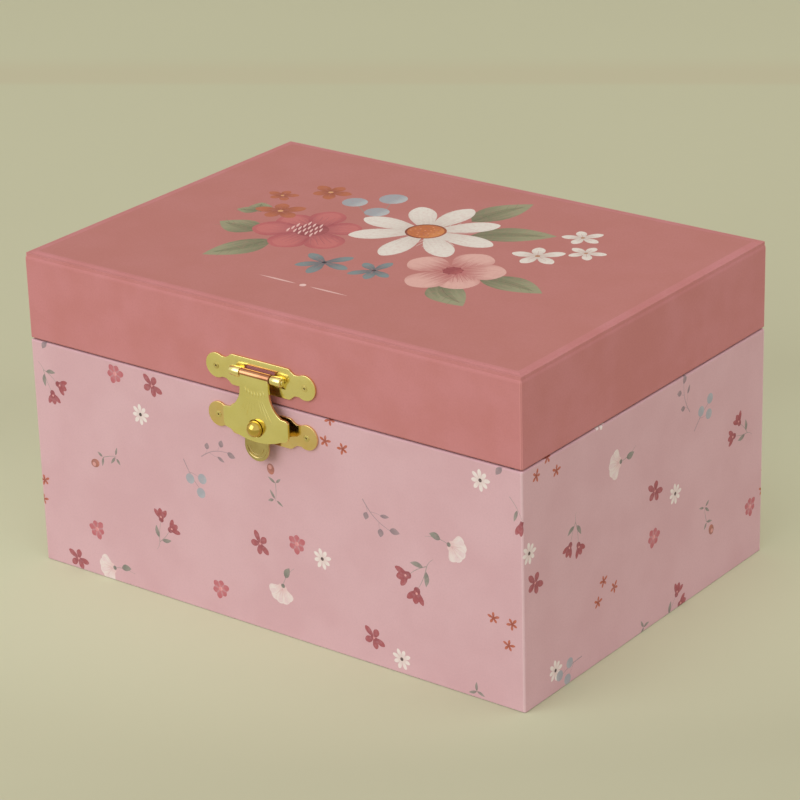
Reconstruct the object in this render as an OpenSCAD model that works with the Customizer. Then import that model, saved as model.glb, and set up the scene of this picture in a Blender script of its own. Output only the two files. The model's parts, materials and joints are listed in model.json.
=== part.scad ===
// Musical jewellery box with a ballerina under its hinged, mirrored lid.
// Origin at the middle of the underside, +X right, -Y the front with the latch, +Z up.
// Drawn shut: the lid is down, the latch is closed and the figure leans under the mirror.

/* [Box] */
// Width over the paper
box_w = 156; // [150:1:170]
// Depth over the paper
box_d = 110; // [106:1:120]
// Height of the case over the paper
case_h = 63.4; // [62:0.1:64]
// Shadow gap between case and lid
seam = 0.4; // [0.3:0.1:0.8]
// Height of the lid over the paper
lid_h = 23.7; // [23:0.1:26]
// Thickness of the greyboard walls
board = 2.5; // [2:0.1:2.6]
// Thickness of the printed paper
paper = 0.25; // [0.2:0.05:0.3]
// Thickness of the inside lining
lining = 0.3; // [0.2:0.05:0.4]
// Radius of the upright case edges
case_r = 0.6; // [0.4:0.1:1.5]
// Radius of the upright lid edges
lid_r = 0.6; // [0.4:0.1:2]
// Radius of the top edges of the lid
lid_top_r = 2; // [1:0.1:2.2]

/* [Trays] */
// Height of the deck and of the dividers above the underside
deck_z = 50; // [50:0.5:50.5]
// Thickness of the dividers, the deck and the tray floor
thin_board = 2; // [1.5:0.1:2.2]
// Back face of the divider that runs from side to side
cross_y = -4; // [-6:0.5:-3]
// Right face of the divider beside the deck
side_x = -10; // [-20:0.5:-8]
// Right face of the divider in the front tray
front_x = 32; // [10:1:40]
// Height of the raised floor of the front tray
tray_z = 24; // [20:1:28]

/* [Movement] */
// Distance of the spindle from the middle, to the right
spindle_x = 33; // [32:0.5:34]
// Distance of the spindle from the middle, to the back
spindle_y = 35.3; // [35.3:0.1:35.5]
// Height of the winding arbor
barrel_z = 14; // [14:0.1:14.2]
// Radius of the spring barrel
barrel_r = 10; // [10:0.1:10.2]
// Radius of the pinned cylinder
drum_r = 6.5; // [6.3:0.1:6.6]
// Number of comb teeth
comb_teeth = 18; // [14:1:18]

/* [Figure] */
// Forward lean of the figure under the shut lid
lean = 50; // [48:1:52]
// Height of the leaning point of the spring
lean_z = 56.2; // [56:0.1:56.4]
// Length of the figure from the leaning point to the fingertips
figure_l = 38; // [36:0.5:38]
// Radius of the tutu
tutu_r = 11; // [9:0.5:11.5]

/* [Latch and hinges] */
// Height of the hasp pin
hasp_z = 71; // [70:0.1:72]
// Height of the catch knob
knob_z = 57.4; // [57:0.1:58]
// Distance of the hinge axis behind the back of the box
hinge_out = 1.5; // [1.5:0.1:1.8]
// Distance of each hinge from the middle
hinge_x = 48; // [40:1:55]

/* [Hidden] */
$fn = 48;
eps = 1;
big = 400;

// box and lid
hw = box_w / 2;
hd = box_d / 2;
lid_z = case_h + seam;
top_z = lid_z + lid_h;
core_w = hw - paper;
core_d = hd - paper;
in_w = core_w - board;
in_d = core_d - board;
fit_w = in_w - lining;
fit_d = in_d - lining;
rim_z = case_h - paper;
lid_rim_z = lid_z + paper;
lid_board_z = top_z - paper - board;
surround_t = 2.55;
mirror_t = 1.5;
mirror_hx = 58;
mirror_hy = 38;

// trays
floor_z = board;
under_deck = deck_z - thin_board;
pad_gap = 0.3;
cleat = 4;

// movement
bed_y = fit_d - 3;
bed_lo = [spindle_x - 30, 4];
bed_hi = [spindle_x + 27, 47];
crown_teeth = 36;
pinion_teeth = 18;
crown_r = 9.35;
crown_pitch_r = 9.25;
pinion_r = crown_pitch_r * pinion_teeth / crown_teeth;
crown_y = spindle_y + pinion_r;
crown_tip = 0.45;
crown_root = 0.65;
wheel_teeth = 48;
leaf_teeth = 12;
wheel_r = 9.6;
leaf_r = wheel_r * leaf_teeth / wheel_teeth;
gov_x = spindle_x + wheel_r + leaf_r;
worm_teeth = 15;
worm_wheel_r = 4.55;
worm_r = 1.45;
fan_x = gov_x + worm_wheel_r + worm_r + 0.1;
fan_z = 39;
fan_r = 4.8;
drum_lo = 26;
drum_hi = 44;
pin_out = 0.45;
comb_gap = 0.3;
comb_tip_x = spindle_x - drum_r - pin_out - comb_gap;
arbor_r = 1.5;
run = 0.05;
screw_x = [bed_lo[0] + 4, spindle_x, bed_hi[0] - 4];
screw_z = [10, 34, 10];
stop_x = fan_x;
stop_y = 44;
stop_top = 64.6;

// figure
bend_t = 3.6;
bend_r = bend_t / tan(lean / 2);
ferrule_l = 3;

// hinges and latch
hinge_y = hd + hinge_out;
hinge_z = case_h + seam / 2;
knuckle_r = 1.3;
pin_r = 0.55;
leaf_t = 0.6;
leaf_len = 18;
leaf_gap = 1.5;
leaf_reach = 9;
leaf_nail = (leaf_gap + leaf_reach) / 2;
nail_head_r = 0.9;
hasp_y = -hd - 1.9;
flap_y = -hd - 3.05;
flap_t = 0.65;
plate_t = 0.6;
nail_x = 14;

// points along an arc
function arc(cx, cy, r, a0, a1, n = 6) =
  [for (i = [0:n]) [cx + r * cos(a0 + (a1 - a0) * i / n), cy + r * sin(a0 + (a1 - a0) * i / n)]];

// a right half outline from top to bottom, joined to its mirror image
function both(half) =
  concat(half, [for (i = [len(half) - 1:-1:0]) [-half[i][0], half[i][1]]]);

function rounded(x0, y0, x1, y1, r) = concat(
  arc(x1 - r, y1 - r, r, 0, 90),
  arc(x0 + r, y1 - r, r, 90, 180),
  arc(x0 + r, y0 + r, r, 180, 270),
  arc(x1 - r, y0 + r, r, 270, 360)
);

// outline of a gear with straight-flanked teeth, the first one centred at angle `first`
function gear(n, root, tip, root_half, tip_half, first = 0) = [
  for (i = [0:n - 1])
    for (s = [[-1, 0], [-1, 1], [1, 1], [1, 0]])
      let(r = s[1] == 1 ? tip : root, w = s[1] == 1 ? tip_half : root_half)
        let(a = first + 360 * i / n + s[0] * asin(w / r)) [r * cos(a), r * sin(a)]
];

module box(lo, hi) {
  translate(lo) cube(hi - lo);
}

// stands a flat outline drawn in x and z up, with its back at y and its front t nearer
module upright(y, t) {
  translate([0, y, 0]) rotate([90, 0, 0]) linear_extrude(t) children();
}

// a cylinder along x, y or z from one point
module along_x(p, r, l) {
  translate(p) rotate([0, 90, 0]) cylinder(r = r, h = l);
}

module along_y(p, r, l) {
  translate(p) rotate([-90, 0, 0]) cylinder(r = r, h = l);
}

module along_z(p, r, l) {
  translate(p) cylinder(r = r, h = l);
}

// a round rod between two points
module rod(a, b, r) {
  d = b - a;
  l = norm(d);
  translate(a) rotate([0, acos(d[2] / l), atan2(d[1], d[0])]) cylinder(r = r, h = l);
}

// the leaning frame of the figure, with its origin at the leaning point
module leaned() {
  translate([spindle_x, spindle_y, lean_z]) rotate([lean, 0, 0]) children();
}

module case_prism(inset, z0, z1) {
  translate([0, 0, z0]) linear_extrude(z1 - z0)
    polygon(rounded(-hw + inset, -hd + inset, hw - inset, hd - inset, case_r - inset));
}

// the lid as a block with rounded upright and top edges
module lid_block(inset) {
  w = hw - inset;
  d = hd - inset;
  t = top_z - inset;
  b = lid_z + inset;
  r = lid_top_r - inset;
  intersection() {
    translate([0, 0, b]) linear_extrude(t - b) polygon(rounded(-w, -d, w, d, lid_r - inset));
    translate([-hw, 0, 0]) rotate([90, 0, 90]) linear_extrude(box_w)
      polygon(concat([[-d, b], [d, b]], arc(d - r, t - r, r, 0, 90), arc(-d + r, t - r, r, 90, 180)));
    translate([0, hd, 0]) rotate([90, 0, 0]) linear_extrude(box_d)
      polygon(concat([[-w, b], [w, b]], arc(w - r, t - r, r, 0, 90), arc(-w + r, t - r, r, 90, 180)));
  }
}

// ---- case ----

module base_board() {
  color("tan") case_prism(paper, 0, floor_z);
}

module case_front_board() {
  color("tan") intersection() {
    case_prism(paper, floor_z, rim_z);
    box([-hw, -hd, 0], [hw, -in_d, case_h]);
  }
}

// everything that passes through the back wall
module back_holes() {
  along_y([spindle_x, 0, barrel_z], 3, big);
  for (i = [0:2]) along_y([screw_x[i], 0, screw_z[i]], 1.35, big);
}

module case_back_board() {
  color("tan") difference() {
    intersection() {
      case_prism(paper, floor_z, rim_z);
      box([-hw, in_d, 0], [hw, hd, case_h]);
    }
    back_holes();
  }
}

module case_side_boards() {
  color("tan") {
    box([-core_w, -in_d, floor_z], [-in_w, in_d, rim_z]);
    box([in_w, -in_d, floor_z], [core_w, in_d, rim_z]);
  }
}

module case_wrap() {
  color("pink") difference() {
    case_prism(0, 0.2, case_h);
    case_prism(paper, -eps, rim_z);
    box([-in_w, -in_d, -eps], [in_w, in_d, case_h + eps]);
    back_holes();
  }
}

module case_lining() {
  color("mistyrose") difference() {
    box([-in_w, -in_d, floor_z], [in_w, in_d, rim_z]);
    box([-fit_w, -fit_d, 0], [fit_w, fit_d, case_h]);
    back_holes();
  }
}

module cross_divider() {
  color("mistyrose")
    box([-fit_w, cross_y - thin_board, floor_z], [fit_w, cross_y, deck_z]);
}

module side_divider() {
  color("mistyrose") box([side_x - thin_board, cross_y, floor_z], [side_x, fit_d, deck_z]);
}

module front_divider() {
  color("mistyrose")
    box([front_x - thin_board, -fit_d, tray_z], [front_x, cross_y - thin_board, deck_z]);
}

module tray_floor() {
  color("mistyrose")
    box([-fit_w, -fit_d, tray_z - thin_board], [fit_w, cross_y - thin_board, tray_z]);
}

module deck() {
  color("mistyrose") difference() {
    box([side_x, cross_y, under_deck], [fit_w, fit_d, deck_z]);
    along_z([spindle_x, spindle_y, 0], 2.6, big);
    along_z([stop_x, stop_y, 0], 1.8, big);
  }
}

// softwood strips that carry the deck and the raised tray floor
module cleats() {
  color("burlywood") {
    box([side_x, 1, under_deck - cleat], [side_x + cleat, 47, under_deck]);
    box([fit_w - cleat, 1, under_deck - cleat], [fit_w, 47, under_deck]);
    box([-2, cross_y, under_deck - cleat], [66, cross_y + cleat, under_deck]);
    for (s = [-1, 1])
      translate([s * (fit_w - cleat / 2) - cleat / 2, -48, tray_z - thin_board - cleat])
        cube([cleat, 38, cleat]);
  }
}

module tray_pads() {
  color("palevioletred") {
    box(
      [-fit_w + pad_gap, cross_y + pad_gap, floor_z],
      [side_x - thin_board - pad_gap, fit_d - pad_gap, floor_z + 2]
    );
    box(
      [front_x + pad_gap, -fit_d + pad_gap, tray_z],
      [fit_w - pad_gap, cross_y - thin_board - pad_gap, tray_z + 2]
    );
  }
}

// four padded rolls that rings are pushed between
module ring_cushion() {
  rolls = 4;
  y0 = -fit_d + 0.5;
  y1 = cross_y - thin_board - 0.5;
  step = (y1 - y0) / rolls;
  r = step / 2;
  top = tray_z + 19;
  color("palevioletred") translate([-fit_w + 0.5, 0, 0]) rotate([90, 0, 90])
    linear_extrude(fit_w + front_x - thin_board - 1)
      polygon(concat(
        [[y0, tray_z], [y1, tray_z]],
        [for (i = [rolls - 1:-1:0]) each arc(y0 + (i + 0.5) * step, top - r, r, 12, 168, 10)]
      ));
}

// ---- hinges ----

module hinge_knuckle(x, l) {
  difference() {
    along_x([x, hinge_y, hinge_z], knuckle_r, l);
    along_x([x - eps, hinge_y, hinge_z], pin_r + run, l + 2 * eps);
  }
}

// one leaf with its nail holes, drawn from the knuckle to the far edge
module hinge_leaf(x, side, knuckles) {
  z0 = hinge_z + side * leaf_gap;
  z1 = hinge_z + side * leaf_reach;
  difference() {
    union() {
      box([x - leaf_len / 2, hd, min(z0, z1)], [x + leaf_len / 2, hd + leaf_t, max(z0, z1)]);
      for (k = knuckles) {
        along_x([x + k[0], hinge_y, hinge_z], knuckle_r, k[1]);
        box([x + k[0], hd, min(z0, hinge_z)], [x + k[0] + k[1], hd + leaf_t, max(z0, hinge_z)]);
      }
    }
    along_x([x - leaf_len, hinge_y, hinge_z], pin_r + run, 2 * leaf_len);
    for (s = [-1, 1]) along_y([x + s * 5.5, hd - eps, (z0 + z1) / 2], 0.5, 3);
  }
}

module case_hinge_leaves() {
  color("gold") for (s = [-1, 1])
    hinge_leaf(s * hinge_x, -1, [[-9, 5.4], [3.6, 5.4]]);
}

module lid_hinge_leaves() {
  color("gold") for (s = [-1, 1])
    hinge_leaf(s * hinge_x, 1, [[-3.4, 6.8]]);
}

module hinge_pins() {
  color("goldenrod") for (s = [-1, 1])
    along_x([s * hinge_x - leaf_len / 2, hinge_y, hinge_z], pin_r, leaf_len);
}

// a round-headed nail through a metal sheet, driven into the wall towards `way` in y
module nail(x, y, z, way) {
  along_y([x, min(y, y - way * 0.45), z], nail_head_r, 0.45);
  along_y([x, min(y, y + way * 2.2), z], 0.45, 2.2);
}

module case_nails() {
  color("goldenrod") {
    for (h = [-1, 1])
      for (s = [-1, 1]) nail(h * hinge_x + s * 5.5, hd + leaf_t, hinge_z - leaf_nail, -1);
    for (s = [-1, 1]) nail(s * nail_x, -hd - plate_t, knob_z - 0.25, 1);
  }
}

module lid_nails() {
  color("goldenrod") {
    for (h = [-1, 1])
      for (s = [-1, 1]) nail(h * hinge_x + s * 5.5, hd + leaf_t, hinge_z + leaf_nail, -1);
    for (s = [-1, 1]) nail(s * nail_x, -hd - plate_t, hasp_z - 0.7, 1);
  }
}

// ---- latch ----

// lobed plate, the same for the case and the lid, centred at height z
module latch_plate(z) {
  half = concat(
    arc(8.6, z + 2.6, 1.5, 90, 35, 4),
    [[10.9, z + 2.85]],
    arc(nail_x, z + 0.1, 3.3, 122, -122, 14),
    [[10.9, z - 2.75]],
    arc(8.6, z - 2.6, 1.5, -35, -90, 4)
  );
  difference() {
    upright(-hd, plate_t) polygon(both(half));
    for (s = [-1, 1]) along_y([s * nail_x, -hd - 2, z], 0.5, 3);
  }
}

module catch_plate() {
  color("gold") difference() {
    latch_plate(knob_z - 0.25);
    along_y([0, -hd - 2, knob_z], 0.8, 3);
  }
}

// ball-headed stud that the hole in the flap snaps over
module catch_knob() {
  color("gold") {
    along_y([0, -hd - plate_t, knob_z], 0.8, plate_t);
    along_y([0, -hd - 3.2, knob_z], 1.3, 3.2 - plate_t);
    translate([0, -hd - 3.3, knob_z]) sphere(r = 2.15);
  }
}

module hasp_plate() {
  ear = 3.3;
  color("gold") difference() {
    union() {
      latch_plate(hasp_z - 0.7);
      for (x = [-8.1, 8.1 - ear]) {
        along_x([x, hasp_y, hasp_z], 1.25, ear);
        box([x, hasp_y, hasp_z - 1.15], [x + ear, -hd - 0.3, hasp_z - 0.5]);
      }
    }
    box([-4.75, -hd - 2, hasp_z - 1.7], [4.75, -hd + 1, hasp_z + 1.6]);
    along_x([-20, hasp_y, hasp_z], 0.65, 40);
  }
}

module hasp_pin() {
  color("goldenrod") along_x([-8.3, hasp_y, hasp_z], 0.6, 16.6);
}

// flared flap that hangs from the pin and hooks over the knob
module hasp_flap() {
  half = concat(
    [[4.4, hasp_z], [4.5, 68.2]],
    arc(11.2, 67.4, 6.6, 178, 243, 8),
    arc(9.1, 60.4, 1.15, 60, 0, 4),
    arc(8.6, 57.2, 1.65, 0, -60, 4),
    [[8.1, 55.5]],
    arc(0, 73.2, 19.5, -67, -79, 3),
    arc(0, 52.4, 3.85, -2, -90, 9)
  );
  color("gold") difference() {
    union() {
      upright(flap_y + flap_t, flap_t) polygon(both(half));
      along_x([-4.6, hasp_y, hasp_z], 1.25, 9.2);
    }
    along_x([-10, hasp_y, hasp_z], 0.65, 20);
    along_y([0, flap_y - 1, knob_z], 2.45, 4);
  }
}

// ---- lid ----

module lid_top_board() {
  color("tan") intersection() {
    lid_block(paper);
    box([-hw, -hd, lid_board_z], [hw, hd, top_z]);
  }
}

module lid_front_board() {
  color("tan") intersection() {
    lid_block(paper);
    box([-hw, -hd, lid_z], [hw, -in_d, lid_board_z]);
  }
}

module lid_back_board() {
  color("tan") intersection() {
    lid_block(paper);
    box([-hw, in_d, lid_z], [hw, hd, lid_board_z]);
  }
}

module lid_side_boards() {
  color("tan") {
    box([-core_w, -in_d, lid_rim_z], [-in_w, in_d, lid_board_z]);
    box([in_w, -in_d, lid_rim_z], [core_w, in_d, lid_board_z]);
  }
}

module lid_wrap() {
  color("indianred") difference() {
    lid_block(0);
    lid_block(paper);
    box([-in_w, -in_d, 0], [in_w, in_d, lid_rim_z + eps]);
  }
}

module lid_lining() {
  color("mistyrose") difference() {
    box([-in_w, -in_d, lid_rim_z], [in_w, in_d, lid_board_z]);
    box([-fit_w, -fit_d, 0], [fit_w, fit_d, lid_board_z + eps]);
  }
}

module mirror() {
  color("lightblue")
    box([-mirror_hx, -mirror_hy, lid_board_z - mirror_t], [mirror_hx, mirror_hy, lid_board_z]);
}

// lined card frame that holds the mirror against the lid
module mirror_surround() {
  slack = 0.3;
  lip = 2.5;
  lo = lid_board_z - surround_t;
  color("mistyrose") difference() {
    box([-fit_w, -fit_d, lo], [fit_w, fit_d, lid_board_z]);
    box(
      [-mirror_hx - slack, -mirror_hy - slack, lid_board_z - mirror_t],
      [mirror_hx + slack, mirror_hy + slack, top_z]
    );
    box([-mirror_hx + lip, -mirror_hy + lip, lid_z], [mirror_hx - lip, mirror_hy - lip, top_z]);
  }
}

// block on the back wall of the lid that presses the stop wire down
module lid_striker() {
  color("burlywood") box([stop_x - 3, 42, stop_top + 0.2], [stop_x + 3, fit_d, stop_top + 5]);
}

// ---- movement frame ----

// cast bedplate against the back wall, with the raised seat for the comb
module bedplate() {
  color("darkkhaki") difference() {
    union() {
      box([bed_lo[0], bed_y, bed_lo[1]], [bed_hi[0], fit_d, bed_hi[1]]);
      box([bed_lo[0] + 1, spindle_y + 0.4, drum_lo], [bed_lo[0] + 9, bed_y, drum_hi]);
    }
    along_y([spindle_x, 0, barrel_z], arbor_r + run, big);
    for (i = [0:2]) along_y([screw_x[i], bed_y - eps, screw_z[i]], 1.3, 20);
    for (z = [29, 35, 41]) along_y([bed_lo[0] + 5, 30, z], 1, 12);
  }
}

module movement_screws() {
  head_y = hd;
  color("silver") for (i = [0:2]) difference() {
    union() {
      along_y([screw_x[i], head_y, screw_z[i]], 2.6, 1.3);
      along_y([screw_x[i], bed_y + 0.4, screw_z[i]], 1.3, head_y - bed_y - 0.4);
    }
    translate([screw_x[i] - 3, head_y + 0.8, screw_z[i] - 0.3]) cube([6, 1, 0.6]);
  }
}

// plate in front of the barrel, with the lower bearing of the spindle
module barrel_bridge() {
  x0 = spindle_x - 13;
  x1 = spindle_x + 13;
  color("khaki") difference() {
    union() {
      box([x0, 37, 6], [x1, 38.5, 21]);
      box([x0, 38.5, 8], [x0 + 2, bed_y, 20]);
      box([x1 - 2, 38.5, 8], [x1, bed_y, 20]);
      box([spindle_x - 3, 33, 16.5], [spindle_x + 3, 37, 19.5]);
    }
    along_z([spindle_x, spindle_y, 10], 1 + run, 20);
    along_y([spindle_x, 30, barrel_z], 0.8 + run, 12);
  }
}

module spindle_bracket() {
  color("khaki") difference() {
    box([spindle_x - 3, 32, 46.2], [spindle_x + 3, bed_y, 47.4]);
    along_z([spindle_x, spindle_y, 40], 1 + run, 20);
  }
}

// steel comb, its teeth cut longest at the bass end
module comb() {
  x0 = bed_lo[0] + 1;
  pitch = (drum_hi - drum_lo) / comb_teeth;
  color("lightsteelblue") difference() {
    box([x0, spindle_y - 0.4, drum_lo], [comb_tip_x, spindle_y + 0.4, drum_hi]);
    for (i = [1:comb_teeth - 1]) {
      cut = 13 - 5 * i / comb_teeth;
      translate([comb_tip_x - cut, spindle_y - 1, drum_lo + i * pitch - 0.12])
        cube([cut + 1, 2, 0.24]);
    }
    for (z = [29, 35, 41]) along_y([bed_lo[0] + 5, 30, z], 1, 12);
  }
}

// lead weights under the bass teeth
module comb_weights() {
  pitch = (drum_hi - drum_lo) / comb_teeth;
  color("dimgray") for (i = [0:6])
    translate([comb_tip_x - 4, spindle_y + 0.4, drum_lo + (i + 0.2) * pitch])
      cube([3, 2.4 - 0.25 * i, 0.6 * pitch]);
}

module comb_screws() {
  x = bed_lo[0] + 5;
  color("silver") for (z = [29, 35, 41]) difference() {
    union() {
      along_y([x, spindle_y - 1.4, z], 1.8, 1);
      along_y([x, spindle_y - 0.4, z], 1, 6);
    }
    translate([x - 2, spindle_y - 1.9, z - 0.25]) cube([4, 1, 0.5]);
  }
}

// bent frame that carries the governor axle and the worm of the air brake
module governor_frame() {
  x0 = gov_x - 2;
  x1 = gov_x + 2;
  color("khaki") difference() {
    union() {
      box([x0 - 2, bed_y - 1.5, 32], [fan_x + 6, bed_y, 47.4]);
      box([x0, 28.2, 34.6], [x1, bed_y - 1.5, 35.8]);
      box([x0, 33, 46.2], [x1, bed_y - 1.5, 47.4]);
      box([x0, 28.2, 35.8], [fan_x + 2, 29.7, 41]);
    }
    along_z([gov_x, spindle_y, 30], 0.5 + run, 20);
    along_y([fan_x, 20, fan_z], 0.5 + run, bed_y - 20.3);
  }
}

// brass bushes: winding arbor, spindle and stop wire
module bushes() {
  color("gold") difference() {
    union() {
      along_y([spindle_x, fit_d, barrel_z], 3, hd - fit_d + 0.8);
      along_y([spindle_x, hd, barrel_z], 4.5, 0.8);
      along_z([spindle_x, spindle_y, under_deck - 0.2], 2.6, thin_board + 0.5);
      along_z([stop_x, stop_y, under_deck], 1.8, thin_board + 0.3);
    }
    along_y([spindle_x, 40, barrel_z], arbor_r + run, 30);
    along_z([spindle_x, spindle_y, 40], 1 + run, 20);
    along_z([stop_x, stop_y, 40], 0.6 + run, 20);
  }
}

// ---- key and spring ----

module winding_arbor() {
  color("silver") {
    along_y([spindle_x, 37.3, barrel_z], 0.8, 2);
    along_y([spindle_x, 39.3, barrel_z], arbor_r, 66 - 39.3);
  }
}

// stamped butterfly key on a round hub
module winding_key() {
  wing = 6.3;
  lobe = both(concat([[0.4, 66.5], [2.4, 66.5]], arc(wing, 70, 4.6, 215, 505, 20), [[1.2, 73.4]]));
  color("gold") difference() {
    union() {
      along_y([spindle_x, 58, barrel_z], 2.4, 8.6);
      translate([spindle_x, 0, barrel_z - 0.9]) linear_extrude(1.8) polygon(lobe);
    }
    along_y([spindle_x, 50, barrel_z], arbor_r, 16);
    for (s = [-1, 1]) along_z([spindle_x + s * wing, 70, 0], 2.1, 30);
  }
}

// cup with the crown teeth on its front rim
module spring_barrel() {
  back_y = bed_y - 0.3;
  front_y = crown_y + crown_root;
  tooth_in = 2 * crown_r - barrel_r;
  color("goldenrod") difference() {
    union() {
      along_y([spindle_x, front_y, barrel_z], barrel_r, back_y - front_y);
      for (i = [0:crown_teeth - 1])
        translate([spindle_x, 0, barrel_z]) rotate([0, 360 * i / crown_teeth, 0])
          translate([0, 0, tooth_in]) linear_extrude(barrel_r - 0.1 - tooth_in)
            polygon([
              [-0.36, front_y + 0.2], [0.36, front_y + 0.2],
              [0.14, crown_y - crown_tip], [-0.14, crown_y - crown_tip]
            ]);
    }
    along_y([spindle_x, front_y - 2, barrel_z], tooth_in, back_y - front_y + 1.2);
    along_y([spindle_x, 30, barrel_z], arbor_r + run, 30);
  }
}

module barrel_cap() {
  color("gold") difference() {
    along_y([spindle_x, crown_y + crown_root + 0.1, barrel_z], 2 * crown_r - barrel_r - run, 0.8);
    along_y([spindle_x, 30, barrel_z], arbor_r + run, 30);
  }
}

module mainspring() {
  y0 = crown_y + crown_root + 1.2;
  color("slategray") difference() {
    along_y([spindle_x, y0, barrel_z], 8.3, bed_y - 1.5 - y0);
    along_y([spindle_x, y0 - 1, barrel_z], 3.5, 20);
  }
}

// ---- cylinder, spindle and turntable ----

module spindle() {
  color("silver") along_z([spindle_x, spindle_y, 16.8], 1, 52.4 - 16.8);
}

// brass drum whose pins pluck the comb
module pin_cylinder() {
  pitch = (drum_hi - drum_lo) / comb_teeth;
  per_track = 4;
  golden = 137.5;
  color("gold") translate([spindle_x, spindle_y, 0]) difference() {
    union() {
      along_z([0, 0, drum_lo], drum_r, drum_hi - drum_lo);
      for (i = [0:comb_teeth - 1])
        for (k = [0:per_track - 1])
          rotate([0, 0, golden * (i * per_track + k)])
            translate([0, 0, drum_lo + (i + 0.5) * pitch])
              along_x([drum_r - 0.4, 0, 0], 0.22, 0.4 + pin_out, $fn = 8);
    }
    along_z([0, 0, 0], 1, 60);
  }
}

module cylinder_pinion() {
  color("gold") translate([spindle_x, spindle_y, 21.6]) difference() {
    linear_extrude(3.3)
      polygon(gear(pinion_teeth, pinion_r - 0.62, pinion_r + 0.45, 0.36, 0.14, 90 + 180 / pinion_teeth));
    along_z([0, 0, -eps], 1, 6);
  }
}

module cylinder_wheel() {
  color("gold") translate([spindle_x, spindle_y, 44.6]) difference() {
    linear_extrude(1) polygon(gear(wheel_teeth, wheel_r - 0.45, wheel_r + 0.3, 0.32, 0.12));
    along_z([0, 0, -eps], 1, 4);
    for (a = [0:72:288]) rotate(a) along_z([5.4, 0, -eps], 2, 4);
  }
}

module turntable() {
  color("gold") translate([spindle_x, spindle_y, deck_z + 0.6]) difference() {
    rotate_extrude() polygon([[0, 0], [7, 0], [7, 0.9], [6.4, 1.5], [0, 1.5]]);
    along_z([0, 0, -eps], 1, 4);
  }
}

// ---- governor and air brake ----

module governor_wheel() {
  first = 180 + 180 / leaf_teeth;
  color("gold") translate([gov_x, spindle_y, 0]) {
    along_z([0, 0, 34.8], 0.5, 12.4);
    translate([0, 0, 44.3]) linear_extrude(1.6)
      polygon(gear(leaf_teeth, leaf_r - 0.45, leaf_r + 0.3, 0.3, 0.12, first));
    translate([0, 0, fan_z - 1]) linear_extrude(2)
      polygon(gear(worm_teeth, worm_wheel_r - 0.8, worm_wheel_r, 0.5, 0.22));
  }
}

// endless screw and the two-winged fan that slows it
module air_brake() {
  turns = 4;
  offset_r = 0.35;
  color("silver") translate([fan_x, 0, fan_z]) {
    along_y([0, 28.4, 0], 0.5, bed_y - 28.8);
    translate([0, 39.4, 0]) rotate([90, 0, 0])
      linear_extrude(height = 7.6, twist = 360 * turns, slices = 9 * turns, segments = 12)
        translate([offset_r, 0]) circle(r = worm_r - offset_r, $fn = 12);
    along_y([0, 41.6, 0], 1.2, 4.4);
    for (s = [0, 180]) rotate([0, s, 0]) box([0.8, 42, -0.2], [fan_r, 45.8, 0.2]);
  }
}

// ---- figure ----

// brass ferrule that grips the figure's peg
module figure_ferrule() {
  color("goldenrod") leaned() difference() {
    along_z([0, 0, bend_t], 1.7, ferrule_l);
    along_z([0, 0, 0], 0.8 + run, 10);
  }
}

// outer form of the bent coil spring between turntable and ferrule
module figure_spring() {
  color("silver")
    translate([spindle_x, spindle_y - bend_r, lean_z - bend_t]) rotate([90, 0, 90])
      rotate_extrude(angle = lean) translate([bend_r, 0]) circle(r = 1.5);
}

// doll on the point of one foot, the other foot at the knee, arms rounded overhead
module ballerina() {
  hip = 0.57 * figure_l;
  neck = 0.84 * figure_l;
  shoulder = [0, 0, 0.77 * figure_l];
  toe = bend_t + ferrule_l + 0.2;
  knee = [5.6, 0, hip - 3.2];
  color("linen") leaned() {
    along_z([0, 0, bend_t + 0.3], 0.8, ferrule_l + 2);
    rotate_extrude() polygon([
      [0, toe], [0.7, toe], [0.9, toe + 2], [1.3, hip - 9], [1.1, hip - 6.5], [1.7, hip - 2],
      [2.5, hip + 0.5], [1.7, hip + 3.6], [2.3, hip + 6.8], [1.9, shoulder[2]],
      [0.8, neck - 1.4], [0.8, neck], [0, neck]
    ]);
    translate([0, 0, neck + 1.6]) sphere(r = 2.3);
    rod([1, 0, hip - 1], knee, 1.2);
    rod(knee, [1, 0, hip - 8.2], 0.9);
    translate(knee) sphere(r = 1.25);
    for (s = [-1, 1]) {
      elbow = [s * 4.6, 0, neck + 0.4];
      rod(shoulder + [s * 1.4, 0, -0.4], elbow, 0.7);
      rod(elbow, [s * 0.9, 0, figure_l - 0.6], 0.6);
      translate(elbow) sphere(r = 0.75);
      translate([s * 0.9, 0, figure_l - 0.6]) sphere(r = 0.65);
    }
  }
}

module tutu() {
  hip = 0.57 * figure_l;
  color("pink") leaned() rotate_extrude() polygon([
    [2.75, hip + 0.4], [tutu_r, hip - 1.2], [tutu_r, hip - 0.2], [2.75, hip + 2.2]
  ]);
}

// ---- stop ----

// wire that the shut lid pushes down onto the fan
module stop_wire() {
  color("silver") {
    along_z([stop_x, stop_y, 44.1], 0.6, stop_top - 44.1 - 0.4);
    along_z([stop_x, stop_y, 44.1], 1.5, 0.6);
    along_z([stop_x, stop_y, 54.8], 1.7, 0.8);
    along_z([stop_x, stop_y, stop_top - 1], 0.9, 1);
  }
}

// outer form of the small spring that lifts the wire
module stop_spring() {
  color("silver") difference() {
    along_z([stop_x, stop_y, deck_z + 0.4], 1.5, 4.3);
    along_z([stop_x, stop_y, deck_z - 1], 0.9, 10);
  }
}

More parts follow.
